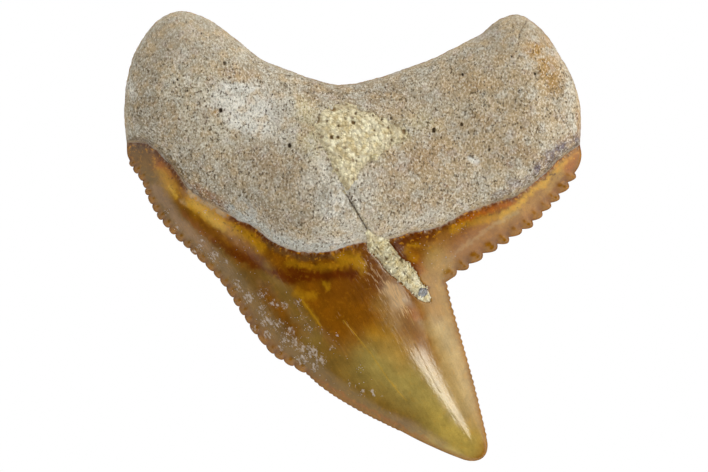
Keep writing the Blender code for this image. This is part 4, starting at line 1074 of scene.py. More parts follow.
def triangulated(
    outline: np.ndarray, lines: Sequence[np.ndarray], points: np.ndarray
) -> tuple[np.ndarray, list[list[int]]]:
    """Triangles over the outline, with no edge but the outline's own from rim to rim.

    Args:
        outline: The rim, as a loop.
        lines: Lines that the triangles' edges follow.
        points: Loose points between them.

    Returns:
        The places of the corners, and the triangles.
    """
    count = len(outline)
    places = [Vector(p) for p in outline]
    edges = [(i, (i + 1) % count) for i in range(count)]
    for line in lines:
        first = len(places)
        places += [Vector(p) for p in line]
        edges += [(first + i, first + i + 1) for i in range(len(line) - 1)]
    places += [Vector(p) for p in points]
    while True:
        flat, drawn, faces, sources, *_ = delaunay_2d_cdt(places, edges, [], 1, 1e-6)
        rim = [min(source, default=count) for source in sources]
        chords = []
        for a, b in drawn:
            if rim[a] < count and rim[b] < count and abs(rim[a] - rim[b]) not in (1, count - 1):
                chords.append((flat[a] + flat[b]) / 2)
        if not chords:
            return np.array([tuple(p) for p in flat]), faces
        places += chords


def shell(name: str, upper: Sheet, lower: Sheet) -> bpy.types.Object:
    """One closed body from an upper and a lower sheet that share their rim.

    Args:
        name: Name of the piece.
        upper: Places, heights and triangles of the upper sheet.
        lower: The same of the lower sheet.

    Returns:
        The piece, at the origin.
    """
    mesh = bmesh.new()
    for (places, heights, faces), upward in ((upper, True), (lower, False)):
        corners = [
            mesh.verts.new((x * MM, y * MM, z * MM))
            for (x, y), z in zip(places.tolist(), heights.tolist())
        ]
        for face in faces:
            mesh.faces.new([corners[i] for i in (face if upward else face[::-1])])
    bmesh.ops.remove_doubles(mesh, verts=mesh.verts, dist=1e-7)
    bmesh.ops.dissolve_degenerate(mesh, edges=mesh.edges, dist=1e-8)
    return smooth_piece(name, mesh)


def smooth_piece(name: str, mesh: bmesh.types.BMesh) -> bpy.types.Object:
    """A smoothly shaded piece of a finished mesh.

    Args:
        name: Name of the piece.
        mesh: The mesh, which is freed.

    Returns:
        The piece, at the origin.
    """
    data = bpy.data.meshes.new(name)
    mesh.to_mesh(data)
    mesh.free()
    data.shade_smooth()
    return linked(name, data)


def linked(name: str, data: bpy.types.ID) -> bpy.types.Object:
    """A new object in the scene.

    Args:
        name: Its name.
        data: Its mesh, light or camera.

    Returns:
        The object, at the origin.
    """
    made = bpy.data.objects.new(name, data)
    bpy.context.scene.collection.objects.link(made)
    return made


def read(items: bpy.types.bpy_prop_collection, name: str) -> np.ndarray:
    """Three numbers from each of a mesh's corners or faces.

    Args:
        items: The corners or faces.
        name: What is read from each.

    Returns:
        One row for each.
    """
    flat = np.empty(len(items) * 3, np.float32)
    items.foreach_get(name, flat)
    return flat.reshape(-1, 3)


def points_of(mesh: bpy.types.Mesh) -> np.ndarray:
    """The mesh's corners, in millimetres."""
    return read(mesh.vertices, "co").astype(float) / MM


def store(mesh: bpy.types.Mesh, name: str, values: np.ndarray) -> None:
    """Keep a number or a colour at each corner.

    Args:
        mesh: The mesh.
        name: The name they are kept under.
        values: A number or a colour for each corner.
    """
    if values.ndim == 1:
        kept = mesh.attributes.new(name, "FLOAT", "POINT")
        kept.data.foreach_set("value", values.astype(np.float32))
    else:
        kept = mesh.attributes.new(name, "FLOAT_COLOR", "POINT")
        full = np.column_stack([values, np.ones(len(values))]).astype(np.float32)
        kept.data.foreach_set("color", full.ravel())


# Node trees


class Wire:
    """What comes out of a node in a tree that is being written, ready for sums."""

    def __init__(self, sheet: "NodeSheet", socket: bpy.types.NodeSocket) -> None:
        """Keep the sheet and the socket."""
        self.sheet = sheet
        self.socket = socket

    def __getitem__(self, key: str | int) -> "Wire":
        """Another output of the same node."""
        return Wire(self.sheet, self.socket.node.outputs[key])

    def __add__(self, other: "Feed") -> "Wire":
        """The sum of the two."""
        return self.sheet.math("ADD", self, other)

    def __sub__(self, other: "Feed") -> "Wire":
        """This with the other taken away."""
        return self.sheet.math("SUBTRACT", self, other)

    def __rsub__(self, other: float) -> "Wire":
        """A plain number with this taken away."""
        return self.sheet.math("SUBTRACT", other, self)

    def __mul__(self, other: "Feed") -> "Wire":
        """The product of the two."""
        return self.sheet.math("MULTIPLY", self, other)

    def larger(self, other: "Feed") -> "Wire":
        """The larger of the two."""
        return self.sheet.math("MAXIMUM", self, other)

    def first(self) -> "Wire":
        """The first number of a random colour."""
        return self.sheet.add("ShaderNodeSeparateXYZ", {0: self})

    def ramp(self, low: "Feed", high: "Feed") -> "Wire":
        """A smooth step from 0 where this is low to 1 where it is high."""
        feeds = {0: self, 1: low, 2: high}
        return self.sheet.add("ShaderNodeMapRange", feeds, interpolation_type="SMOOTHSTEP")

    def shaded(self, factor: "Feed") -> "Wire":
        """This colour, lightened or darkened by a factor."""
        return self.sheet.blend(1.0, self, factor, "MULTIPLY")

    def under(self, tint: "Feed", share: "Feed") -> "Wire":
        """This colour with a share of a tint over it."""
        return self.sheet.blend(share, self, tint)


Feed = Wire | float | int | bool | str | tuple[float, ...]


class NodeSheet:
    """A node tree being written, with short calls for its nodes and links."""

    def __init__(self, tree: bpy.types.NodeTree) -> None:
        """Start on a tree."""
        self.tree = tree

    def feed(self, node: bpy.types.Node, feeds: dict[str | int, Feed]) -> None:
        """Link a node's inputs, or set their plain values.

        Args:
            node: The node.
            feeds: A wire or a plain value for each input, by name or number.
        """
        for key, value in feeds.items():
            socket = node.inputs[key]
            if isinstance(value, Wire):
                self.tree.links.new(value.socket, socket)
            elif socket.type == "RGBA" and len(value) == 3:
                socket.default_value = (*value, 1.0)
            else:
                socket.default_value = value

    def add(
        self, kind: str, feeds: dict[str | int, Feed] | None = None, **settings: object
    ) -> Wire:
        """A new node.

        Args:
            kind: The node's type.
            feeds: A wire or a plain value for each input, by name or number.
            **settings: The node's own properties.

        Returns:
            Its first output, which leads to its others.
        """
        node = self.tree.nodes.new(kind)
        for name, value in settings.items():
            setattr(node, name, value)
        self.feed(node, feeds or {})
        return Wire(self, node.outputs[0])

    def math(self, operation: str, *values: Feed, clamp: bool = False) -> Wire:
        """The result of one sum on numbers."""
        feeds = dict(enumerate(values))
        return self.add("ShaderNodeMath", feeds, operation=operation, use_clamp=clamp)

    def vector(self, operation: str, first: Feed, second: Feed) -> Wire:
        """The result of one sum on vectors, where SCALE takes a number second."""
        feeds = {0: first, "Scale" if operation == "SCALE" else 1: second}
        return self.add("ShaderNodeVectorMath", feeds, operation=operation)

    def blend(self, share: Feed, first: Feed, second: Feed, way: str = "MIX") -> Wire:
        """Two colours mixed by a share."""
        feeds = {0: share, 6: first, 7: second}
        return self.add("ShaderNodeMix", feeds, data_type="RGBA", blend_type=way)[2]

    def noise(self, vector: Feed, size: Feed, detail: float = 2.0, seed: float = 0.0) -> Wire:
        """Cloudy noise.

        Args:
            vector: Where it is read.
            size: About how wide its features are, in metres.
            detail: How many finer layers it has.
            seed: Picks the pattern.

        Returns:
            The noise as a number, which leads to its colour.
        """
        scale = self.math("DIVIDE", 1.0, size)
        feeds = {"Vector": vector, "W": seed, "Scale": scale, "Detail": detail}
        return self.add("ShaderNodeTexNoise", feeds, noise_dimensions="4D")

    def kept(self, name: str, data_type: str = "FLOAT") -> Wire:
        """A value kept on the mesh, for a geometry tree."""
        feeds = {"Name": name}
        return self.add("GeometryNodeInputNamedAttribute", feeds, data_type=data_type)

    def close(self, feeds: dict[str, Feed]) -> bpy.types.NodeTree:
        """Feed a group's outputs and give its tree back."""
        self.feed(self.tree.nodes.new("NodeGroupOutput"), feeds)
        return self.tree


class LookSheet(NodeSheet):
    """The node tree of a new material."""

    def __init__(self, name: str) -> None:
        """Make the material."""
        self.material = bpy.data.materials.new(name)
        self.material.use_nodes = True
        super().__init__(self.material.node_tree)

    @cached_property
    def place(self) -> Wire:
        """Where the surface is, in the piece's own coordinates."""
        return self.add("ShaderNodeTexCoord")["Object"]

    @cached_property
    def tint(self) -> Wire:
        """The colour kept on the piece's corners."""
        return self.add("ShaderNodeAttribute", attribute_name="tint")

    def mask(self, name: str) -> Wire:
        """A number kept on the piece's corners."""
        return self.add("ShaderNodeAttribute", attribute_name=name)["Fac"]

    def effect(self, tree: bpy.types.NodeTree, feeds: dict[str, Feed]) -> Wire:
        """The first output of a shared effect, which leads to its others."""
        return self.add("ShaderNodeGroup", feeds, node_tree=tree)

    def dress(
        self, feeds: dict[str, Feed], height: Wire | None = None, depth: float = 0.0
    ) -> bpy.types.Material:
        """Finish the material.

        Args:
            feeds: A wire or a plain value for each of the shader's inputs.
            height: The fine relief, from 0 to 1.
            depth: The relief's depth in metres.

        Returns:
            The material.
        """
        if height is not None:
            feeds["Normal"] = self.add("ShaderNodeBump", {"Height": height, "Distance": depth})
        self.feed(self.tree.nodes["Principled BSDF"], feeds)
        return self.material


def new_group(
    name: str,
    kind: str,
    inputs: dict[str, Feed],
    outputs: Sequence[str],
    result: str = "NodeSocketFloat",
) -> tuple[NodeSheet, Wire]:
    """A node group with named inputs and outputs.

    Args:
        name: Name of the group.
        kind: Type of tree.
        inputs: Each input's default: a number, or a socket type's name.
        outputs: Names of the outputs.
        result: Socket type of the outputs.

    Returns:
        The sheet, and the group's first input, which leads to the others.
    """
    tree = bpy.data.node_groups.new(name, kind)
    for label, value in inputs.items():
        named = isinstance(value, str)
        socket_type = value if named else "NodeSocketFloat"
        socket = tree.interface.new_socket(label, in_out="INPUT", socket_type=socket_type)
        if not named:
            socket.default_value = value
    for label in outputs:
        tree.interface.new_socket(label, in_out="OUTPUT", socket_type=result)
    sheet = NodeSheet(tree)
    return sheet, sheet.add("NodeGroupInput")


CENTRE = (0.5, 0.5, 0.5)


def cobbles(sheet: NodeSheet, vector: Feed, size: Wire) -> tuple[Wire, Wire]:
    """Round grains of about this size, crowded together, with gaps between them.

    Args:
        sheet: The tree to write in, of either kind.
        vector: Where the pattern is read.
        size: Size of a grain in metres.

    Returns:
        A number that is 1 on top of a grain and 0 deep in a gap, and a random number for
        each grain.
    """
    bend = sheet.vector("SUBTRACT", sheet.noise(vector, size * 1.6, 1.0)["Color"], CENTRE)
    place = sheet.vector("ADD", vector, sheet.vector("SCALE", bend, size * 0.9))
    scale = sheet.math("DIVIDE", 1.0, size)
    feeds = {"Vector": place, "Scale": scale, "Randomness": 0.85}
    cells = sheet.add("ShaderNodeTexVoronoi", feeds)
    return cells["Distance"].ramp(0.68, 0.22), cells["Color"].first()


def grain_group() -> bpy.types.NodeTree:
    """Grain shared by bone, sand and crumbs: knobs, their shades, mottling and sparse specks."""
    sheet, given = new_group(
        "grain", "ShaderNodeTree",
        {"Vector": "NodeSocketVector", "Grain Size": 0.00018, "Mottle Size": 0.0006,
         "Speck Spacing": 0.0006, "Speck Share": 0.2, "Speck Stretch": 1.0},
        ("Knob", "Shade", "Mottle", "Speck"),
    )
    vector = given["Vector"]
    knob, shade = cobbles(sheet, vector, given["Grain Size"])
    bend = sheet.noise(vector, size=0.00012, seed=4.0)["Color"]
    place = sheet.vector("ADD", vector, sheet.vector("SCALE", bend, 0.00016))
    long_way = sheet.add("ShaderNodeCombineXYZ", {0: given["Speck Stretch"], 1: 1.0, 2: 1.0})
    cells = sheet.add("ShaderNodeTexVoronoi", {
        "Vector": sheet.vector("MULTIPLY", place, long_way),
        "Scale": sheet.math("DIVIDE", 1.0, given["Speck Spacing"]),
    })
    chosen = sheet.math("LESS_THAN", cells["Color"].first(), given["Speck Share"])
    return sheet.close({
        "Knob": knob,
        "Shade": shade,
        "Mottle": sheet.noise(vector, given["Mottle Size"], detail=4.0, seed=2.0),
        "Speck": chosen * cells["Distance"].ramp(0.34, 0.16),
    })


def dust_group() -> bpy.types.NodeTree:
    """Pale dust shared by bone and enamel: it gathers in spots where the amount is high."""
    sheet, given = new_group(
        "dust", "ShaderNodeTree",
        {"Vector": "NodeSocketVector", "Amount": 0.5, "Spot Size": 0.00012}, ("Mask",),
    )
    cloud = sheet.noise(given["Vector"], given["Spot Size"], detail=3.0, seed=7.0)
    level = 0.87 - given["Amount"] * 0.41
    return sheet.close({"Mask": cloud.ramp(level, level + 0.15)})


@dataclass
class SharedEffects:
    """The shader groups that more than one finish uses, built once."""

    grain: bpy.types.NodeTree = field(default_factory=grain_group)
    dust: bpy.types.NodeTree = field(default_factory=dust_group)


# Finishes


@dataclass(frozen=True)
class BoneFinish:
    """The root's porous, granular fossil bone. Sizes are in metres."""

    grain_size: float = 0.00024
    mottle_size: float = 0.0007
    speck_spacing: float = 0.00037
    speck_share: float = 0.22
    speck_stretch: float = 1.9
    broad_size: float = 0.0011
    cloud_size: float = 0.0008
    fibre_size: float = 0.00016
    fibre_stretch: float = 1.35
    grit_size: float = 0.0001
    fleck_size: float = 0.00018
    rust_size: float = 0.0004
    dust_spot: float = 0.00018
    gap_tint: Colour = linear(132, 114, 78)
    knob_tint: Colour = linear(252, 246, 228)
    warm_tint: Colour = linear(202, 172, 126)
    cool_tint: Colour = linear(198, 195, 182)
    rosy_tint: Colour = linear(200, 182, 174)
    pit_tint: Colour = linear(84, 64, 34)
    rust_tint: Colour = linear(128, 86, 44)
    pore_shade_tint: Colour = linear(58, 38, 18)
    gap_share: float = 0.6
    knob_share: float = 0.5
    roughness: float = 0.86
    specular: float = 0.25
    relief_depth: float = 0.00005

    def material(self, effects: SharedEffects) -> bpy.types.Material:
        """The bone's material.

        Args:
            effects: The shared shader groups.

        Returns:
            The material.
        """
        sheet = LookSheet("fossil_bone")
        place, beads, zone = sheet.place, sheet.mask("beads"), sheet.mask("bone_grain")
        knob = sheet.effect(effects.grain, {
            "Vector": place, "Grain Size": self.grain_size, "Mottle Size": self.mottle_size,
            "Speck Spacing": self.speck_spacing, "Speck Share": self.speck_share,
            "Speck Stretch": self.speck_stretch,
        })
        pick = knob["Shade"]
        colour = sheet.tint.shaded(sheet.noise(place, self.broad_size, 5.0, 1.0) * 0.8 + 0.63)
        for seed, low, high, share, tint in ((14.0, 0.5, 0.64, 0.5, self.warm_tint),
                                             (14.0, 0.48, 0.36, 0.5, self.cool_tint),
                                             (51.0, 0.54, 0.68, 0.3, self.rosy_tint)):
            cloud = sheet.noise(place, self.cloud_size, 5.0, seed)
            colour = colour.under(tint, cloud.ramp(low, high) * share)
        drawn = sheet.vector("MULTIPLY", place, (self.fibre_stretch, 1.0, 1.0))
        grit = sheet.add("ShaderNodeTexVoronoi", {"Vector": drawn, "Scale": 1 / self.grit_size})
        fibre = sheet.noise(drawn, self.fibre_size, 2.5, 9.0) + (grit["Color"].first() - 0.5) * 0.2
        coarse = zone * 0.6 + 0.42
        strewn = zone * 0.6 + 0.4
        bright = pick.ramp(0.2, 1.0) * knob.ramp(0.3, 1.0) * (beads * 1.4)
        bright = bright.larger(fibre.ramp(0.5, 0.7))
        bright = sheet.math("MULTIPLY", bright, coarse * self.knob_share, clamp=True)
        gap = (1.0 - knob) * pick.ramp(0.0, 0.8) * (beads * self.gap_share)
        dull = fibre.ramp(0.5, 0.32) * (coarse * self.gap_share)
        fleck = sheet.noise(drawn, self.fleck_size, 2.0, 33.0).ramp(0.41, 0.33) * strewn
        pit = knob["Speck"] * strewn
        rust = sheet.noise(place, self.rust_size, 4.0, 21.0).ramp(0.62, 0.72)
        ragged = sheet.mask("pore") + (fibre - 0.5) * 1.6
        dust = sheet.effect(effects.dust, {
            "Vector": drawn, "Amount": sheet.mask("dust"), "Spot Size": self.dust_spot,
        })
        # The pore colour is painted shade in the pores and fine cracks.
        for tint, share in ((self.knob_tint, bright), (self.gap_tint, gap.larger(dull)),
                            (self.pit_tint, fleck * 0.75), (self.pit_tint, pit * 0.65),
                            (self.rust_tint, rust * 0.4),
                            (self.pore_shade_tint, ragged.ramp(0.45, 0.95) * 0.9),
                            (self.knob_tint, dust * 0.6)):
            colour = colour.under(tint, share)
        feeds = {"Base Color": colour, "Roughness": self.roughness,
                 "Specular IOR Level": self.specular}
        height = knob * beads + fibre - pit.larger(fleck)
        return sheet.dress(feeds, height, self.relief_depth)


@dataclass(frozen=True)
class EnamelFinish:
    """The crown's glossy amber enamel, hazy where it has been scuffed, with pale scuff hairs that in
    places are painted reflection. Sizes are in metres.
    """

    broad_size: float = 0.0009
    fine_size: float = 0.00008
    fleck_size: float = 0.00022
    streak_size: float = 0.00013
    hair_size: float = 0.00009
    dust_spot: float = 0.00014
    streak_turn: float = math.radians(-60)
    streak_stretch: float = 8.0
    smear_stretch: float = 1.8
    haze_tint: Colour = linear(216, 202, 190)
    scuff_and_sheen_tint: Colour = linear(208, 168, 116)
    fleck_tint: Colour = linear(70, 34, 6)
    glow_tint: Colour = linear(206, 140, 26)
    gloss_tint: Colour = (1.0, 0.95, 0.8)
    roughness: float = 0.09
    ior: float = 1.55
    specular: float = 0.42
    relief_depth: float = 0.00001

    def material(self, effects: SharedEffects) -> bpy.types.Material:
        """The enamel's material.

        Args:
            effects: The shared shader groups.

        Returns:
            The material.
        """
        sheet = LookSheet("amber_enamel")
        place, scuff_and_sheen_share, amount = sheet.place, sheet.mask("scuff_and_sheen"), sheet.mask("dust")
        turned, smeared = (
            sheet.add("ShaderNodeMapping", {"Vector": place, "Rotation": (0, 0, self.streak_turn),
                                            "Scale": (stretch, 1.0, 1.0)}, vector_type="TEXTURE")
            for stretch in (self.streak_stretch, self.smear_stretch)
        )
        broad = sheet.noise(place, self.broad_size, 5.0, 3.0)
        streak = sheet.noise(turned, self.streak_size, 3.0, 5.0)
        fine = sheet.noise(place, self.fine_size, 2.0, 61.0) * 0.4 + 0.8
        colour = sheet.tint.shaded(broad * 0.9 + 0.55).shaded(streak * 0.5 + 0.75).shaded(fine)
        fleck = sheet.noise(place, self.fleck_size, 3.0, 12.0)
        spotty = sheet.mask("crust") * 0.7 + 0.14
        level = 0.7 - scuff_and_sheen_share * 0.16
        hair = sheet.noise(turned, self.hair_size, 2.0, 17.0).ramp(level, level + 0.08)
        hair = sheet.math("MULTIPLY", hair, scuff_and_sheen_share * 0.55, clamp=True)
        dust = sheet.effect(effects.dust, {
            "Vector": smeared, "Amount": amount, "Spot Size": self.dust_spot,
        }) * 0.6
        for tint, share in ((self.glow_tint, fleck.ramp(0.54, 0.68) * spotty),
                            (self.fleck_tint, fleck.ramp(0.44, 0.28) * spotty),
                            (self.scuff_and_sheen_tint, hair), (self.haze_tint, dust),
                            (self.fleck_tint, sheet.mask("pore"))):
            colour = colour.under(tint, share)
        rough = streak * 0.12 + self.roughness + sheet.mask("dull") * 0.5
        rough = rough + amount * 0.12 + hair * 0.2
        feeds = {"Base Color": colour,
                 "Roughness": sheet.math("ADD", rough, dust * 0.3, clamp=True),
                 "IOR": self.ior, "Specular IOR Level": self.specular,
                 "Specular Tint": self.gloss_tint}
        return sheet.dress(feeds, streak + dust * 1.5 + fine * 0.6, self.relief_depth)


@dataclass(frozen=True)
class SandFinish:
    """Pale yellow cemented sand, dusted with bone colour where it thins out."""

    name: str
    light_tint: Colour = linear(248, 240, 206)
    dark_tint: Colour = linear(220, 202, 154)
    speck_tint: Colour = linear(112, 80, 38)
    edge_tint: Colour = linear(216, 204, 168)
    grain_size: float = 0.00029
    mottle_size: float = 0.0005
    speck_spacing: float = 0.0005
    speck_share: float = 0.12
    fleck_size: float = 0.0002
    gap_share: float = 0.34
    roughness: float = 0.95
    specular: float = 0.2
    relief_depth: float = 0.00004

    def material(self, effects: SharedEffects) -> bpy.types.Material:
        """The sand's material.

        Args:
            effects: The shared shader groups.

        Returns:
            The material.
        """
        sheet = LookSheet(self.name)
        thin = sheet.mask("thin")
        knob = sheet.effect(effects.grain, {
            "Vector": sheet.place, "Grain Size": self.grain_size,
            "Mottle Size": self.mottle_size, "Speck Spacing": self.speck_spacing,
            "Speck Share": self.speck_share,
        })
        fleck = sheet.noise(sheet.place, self.fleck_size, 2.5, 9.0).ramp(0.5, 0.34)
        colour = sheet.blend(knob["Mottle"].ramp(0.36, 0.6), self.dark_tint, self.light_tint)
        for tint, share in ((self.dark_tint, knob["Shade"].ramp(0.7, 0.95) * 0.4),
                            (self.edge_tint, thin * 0.95),
                            (self.speck_tint, fleck * (thin * 0.6)),
                            (self.speck_tint, knob.ramp(0.5, 0.0) * self.gap_share),
                            (self.speck_tint, knob["Speck"] * 0.55),
                            (self.speck_tint, sheet.mask("pore") * 0.85)):
            colour = colour.under(tint, share)
        feeds = {"Base Color": colour, "Roughness": self.roughness,
                 "Specular IOR Level": self.specular}
        return sheet.dress(feeds, knob, self.relief_depth)


@dataclass(frozen=True)
class CrumbFinish:
    """Pale mineral crumbs, a little lilac."""

    light_tint: Colour = linear(228, 218, 208)
    dark_tint: Colour = linear(176, 160, 146)
    grain_size: float = 0.0001
    mottle_size: float = 0.0003
    roughness: float = 0.8

    def material(self, effects: SharedEffects) -> bpy.types.Material:
        """The crumbs' material.

        Args:
            effects: The shared shader groups.

        Returns:
            The material.
        """
        sheet = LookSheet("pale_crumb")
        grain = sheet.effect(effects.grain, {
            "Vector": sheet.place, "Grain Size": self.grain_size,
            "Mottle Size": self.mottle_size,
        })
        cloud = grain["Mottle"].ramp(0.35, 0.65)
        colour = sheet.blend(cloud, self.dark_tint, self.light_tint)
        return sheet.dress({"Base Color": colour, "Roughness": self.roughness})


# Geometry node trees


def relief_tree() -> bpy.types.NodeTree:
    """Raises the bone's grain on the tooth, sinks its pores, and sets both materials."""
    sheet, given = new_group(
        "bone_relief", "GeometryNodeTree",
        {"Geometry": "NodeSocketGeometry", "Grain Size": 0.0003, "Grain Height": 0.00004,
         "Lump Size": 0.0009, "Lump Height": 0.00005, "Pore Depth": 0.0001,
         "Bone": "NodeSocketMaterial", "Enamel": "NodeSocketMaterial"},
        ("Geometry",), "NodeSocketGeometry",
    )
    place = sheet.add("GeometryNodeInputPosition")
    knob, _ = cobbles(sheet, place, given["Grain Size"])
    drawn = sheet.vector("MULTIPLY", place, (1.6, 1.0, 1.0))
    fine = (sheet.noise(drawn, given["Grain Size"], 1.0, 9.0) - 0.5) * 2.2
    grain = ((knob - 0.5) * sheet.kept("beads") + fine) * given["Grain Height"]
    lump = sheet.noise(place, given["Lump Size"], 3.0, 6.0)
    raised = (grain + (lump - 0.5) * given["Lump Height"]) * sheet.kept("bone_grain")
    sunk = sheet.kept("pore") * given["Pore Depth"] * sheet.kept("bone")
    shift = sheet.vector("SCALE", sheet.add("GeometryNodeInputNormal"), raised - sunk)
    feeds = {"Geometry": given["Geometry"], "Offset": shift}
    real = sheet.add("GeometryNodeRealizeInstances",
                     {"Geometry": sheet.add("GeometryNodeSetPosition", feeds)})
    enamel = sheet.add("GeometryNodeSetMaterial",
                       {"Geometry": real, "Material": given["Enamel"]})
    feeds = {"Geometry": enamel, "Selection": sheet.kept("is_bone", "BOOLEAN"),
             "Material": given["Bone"]}
    return sheet.close({"Geometry": sheet.add("GeometryNodeSetMaterial", feeds)})


def scatter_tree() -> bpy.types.NodeTree:
    """Beds rough grains in a surface, where its share attribute lets them lie."""
    sheet, given = new_group(
        "bedded_grains", "GeometryNodeTree",
        {"Geometry": "NodeSocketGeometry", "Spacing": 0.0002, "Density": 4e7,
         "Smallest": 0.00006, "Largest": 0.00013, "Flatness": 0.75, "Sink": 0.00003,
         "Roughness": 0.00005, "Smooth": "NodeSocketBool", "Seed": "NodeSocketInt",
         "Material": "NodeSocketMaterial"},
        ("Geometry",), "NodeSocketGeometry",
    )
    seed = given["Seed"]
    spread = sheet.add("GeometryNodeDistributePointsOnFaces", {
        "Mesh": given["Geometry"], "Distance Min": given["Spacing"],
        "Density Max": given["Density"], "Density Factor": sheet.kept("share"), "Seed": seed,
    }, distribute_method="POISSON")
    grain = sheet.add("GeometryNodeMeshIcoSphere", {"Radius": 1.0, "Subdivisions": 1})
    turn = sheet.add("FunctionNodeRandomValue", {1: (6.28, 6.28, 6.28), "Seed": seed},
                     data_type="FLOAT_VECTOR")
    sizes = {2: given["Smallest"], 3: given["Largest"], "Seed": seed}
    size = sheet.add("FunctionNodeRandomValue", sizes, data_type="FLOAT")[1]
    flat = sheet.add("ShaderNodeCombineXYZ", {0: size, 1: size, 2: size * given["Flatness"]})
    laid = sheet.add("GeometryNodeInstanceOnPoints", {
        "Points": spread, "Instance": grain, "Rotation": turn, "Scale": flat,
    })
    down = sheet.add("ShaderNodeCombineXYZ", {2: given["Sink"] * -1.0})
    sunk = sheet.add("GeometryNodeTranslateInstances", {
        "Instances": laid, "Translation": down, "Local Space": False,
    })
    rough = sheet.noise(sheet.add("GeometryNodeInputPosition"), 0.00012, 2.0, 8.0)["Color"]
    bend = sheet.vector("SUBTRACT", rough, CENTRE)
    bent = sheet.add("GeometryNodeSetPosition", {
        "Geometry": sheet.add("GeometryNodeRealizeInstances", {"Geometry": sunk}),
        "Offset": sheet.vector("SCALE", bend, given["Roughness"]),
    })
    smooth = sheet.add("GeometryNodeSetShadeSmooth",
                       {"Geometry": bent, "Shade Smooth": given["Smooth"]})
    feeds = {"Geometry": smooth, "Material": given["Material"]}
    return sheet.close({"Geometry": sheet.add("GeometryNodeSetMaterial", feeds)})


def grown(
    source: bpy.types.Object, tree: bpy.types.NodeTree, name: str, inputs: dict[str, object]
) -> bpy.types.Object:
    """A plain piece from what a geometry node tree makes of an object.

    Args:
        source: The object the tree works on, which is removed.
        tree: The geometry node tree.
        name: Name of the new piece.
        inputs: Values for the tree's named inputs.

    Returns:
        The new piece, at the origin and within the solids' box.
    """
    modifier = source.modifiers.new("grown", "NODES")
    modifier.node_group = tree
    for item in tree.interface.items_tree:
        if item.item_type == "SOCKET" and item.in_out == "INPUT" and item.name in inputs:
            modifier[item.identifier] = inputs[item.name]
    graph = bpy.context.evaluated_depsgraph_get()
    data = bpy.data.meshes.new_from_object(
        source.evaluated_get(graph), preserve_all_data_layers=True, depsgraph=graph
    )
    source.modifiers.remove(modifier)
    bpy.data.objects.remove(source, do_unlink=True)
    data.name = name
    return keep_in_box(linked(name, data))


def keep_in_box(piece: bpy.types.Object) -> bpy.types.Object:
    """Hold a piece's corners within the solids' box.

    Args:
        piece: The piece.

    Returns:
        The same piece.
    """
    corners = piece.data.vertices
    low, high = (np.array(corner, np.float32) for corner in CAD_BOX)
    corners.foreach_set("co", np.clip(read(corners, "co"), low, high).ravel())
    piece.data.update()
    return piece


# The pieces


@dataclass
class Coat:
    """The colour at each place, laid on stroke by stroke."""

    colour: np.ndarray

    @classmethod
    def plain(cls, tint: Tint, count: int) -> "Coat":
        """One tint at this many places."""
        return cls(np.tile(tint.value, (count, 1)))

    def lay(self, tint: Tint, share: np.ndarray) -> None:
        """Lay a share of a tint over the colour."""
        share = share[:, None]
        self.colour = self.colour * (1 - share) + np.array(tint.value) * share

    def wash(self, places: np.ndarray, washes: Sequence[Wash]) -> None:
        """Lay every stroke.

        Args:
            places: The places, bent so that no stroke looks ruled.
            washes: The strokes in order.
        """
        for wash in washes:
            away = near_segments(places, wash.line) / wash.width
            self.lay(wash.tint, wash.strength * np.exp(-(away**3)))


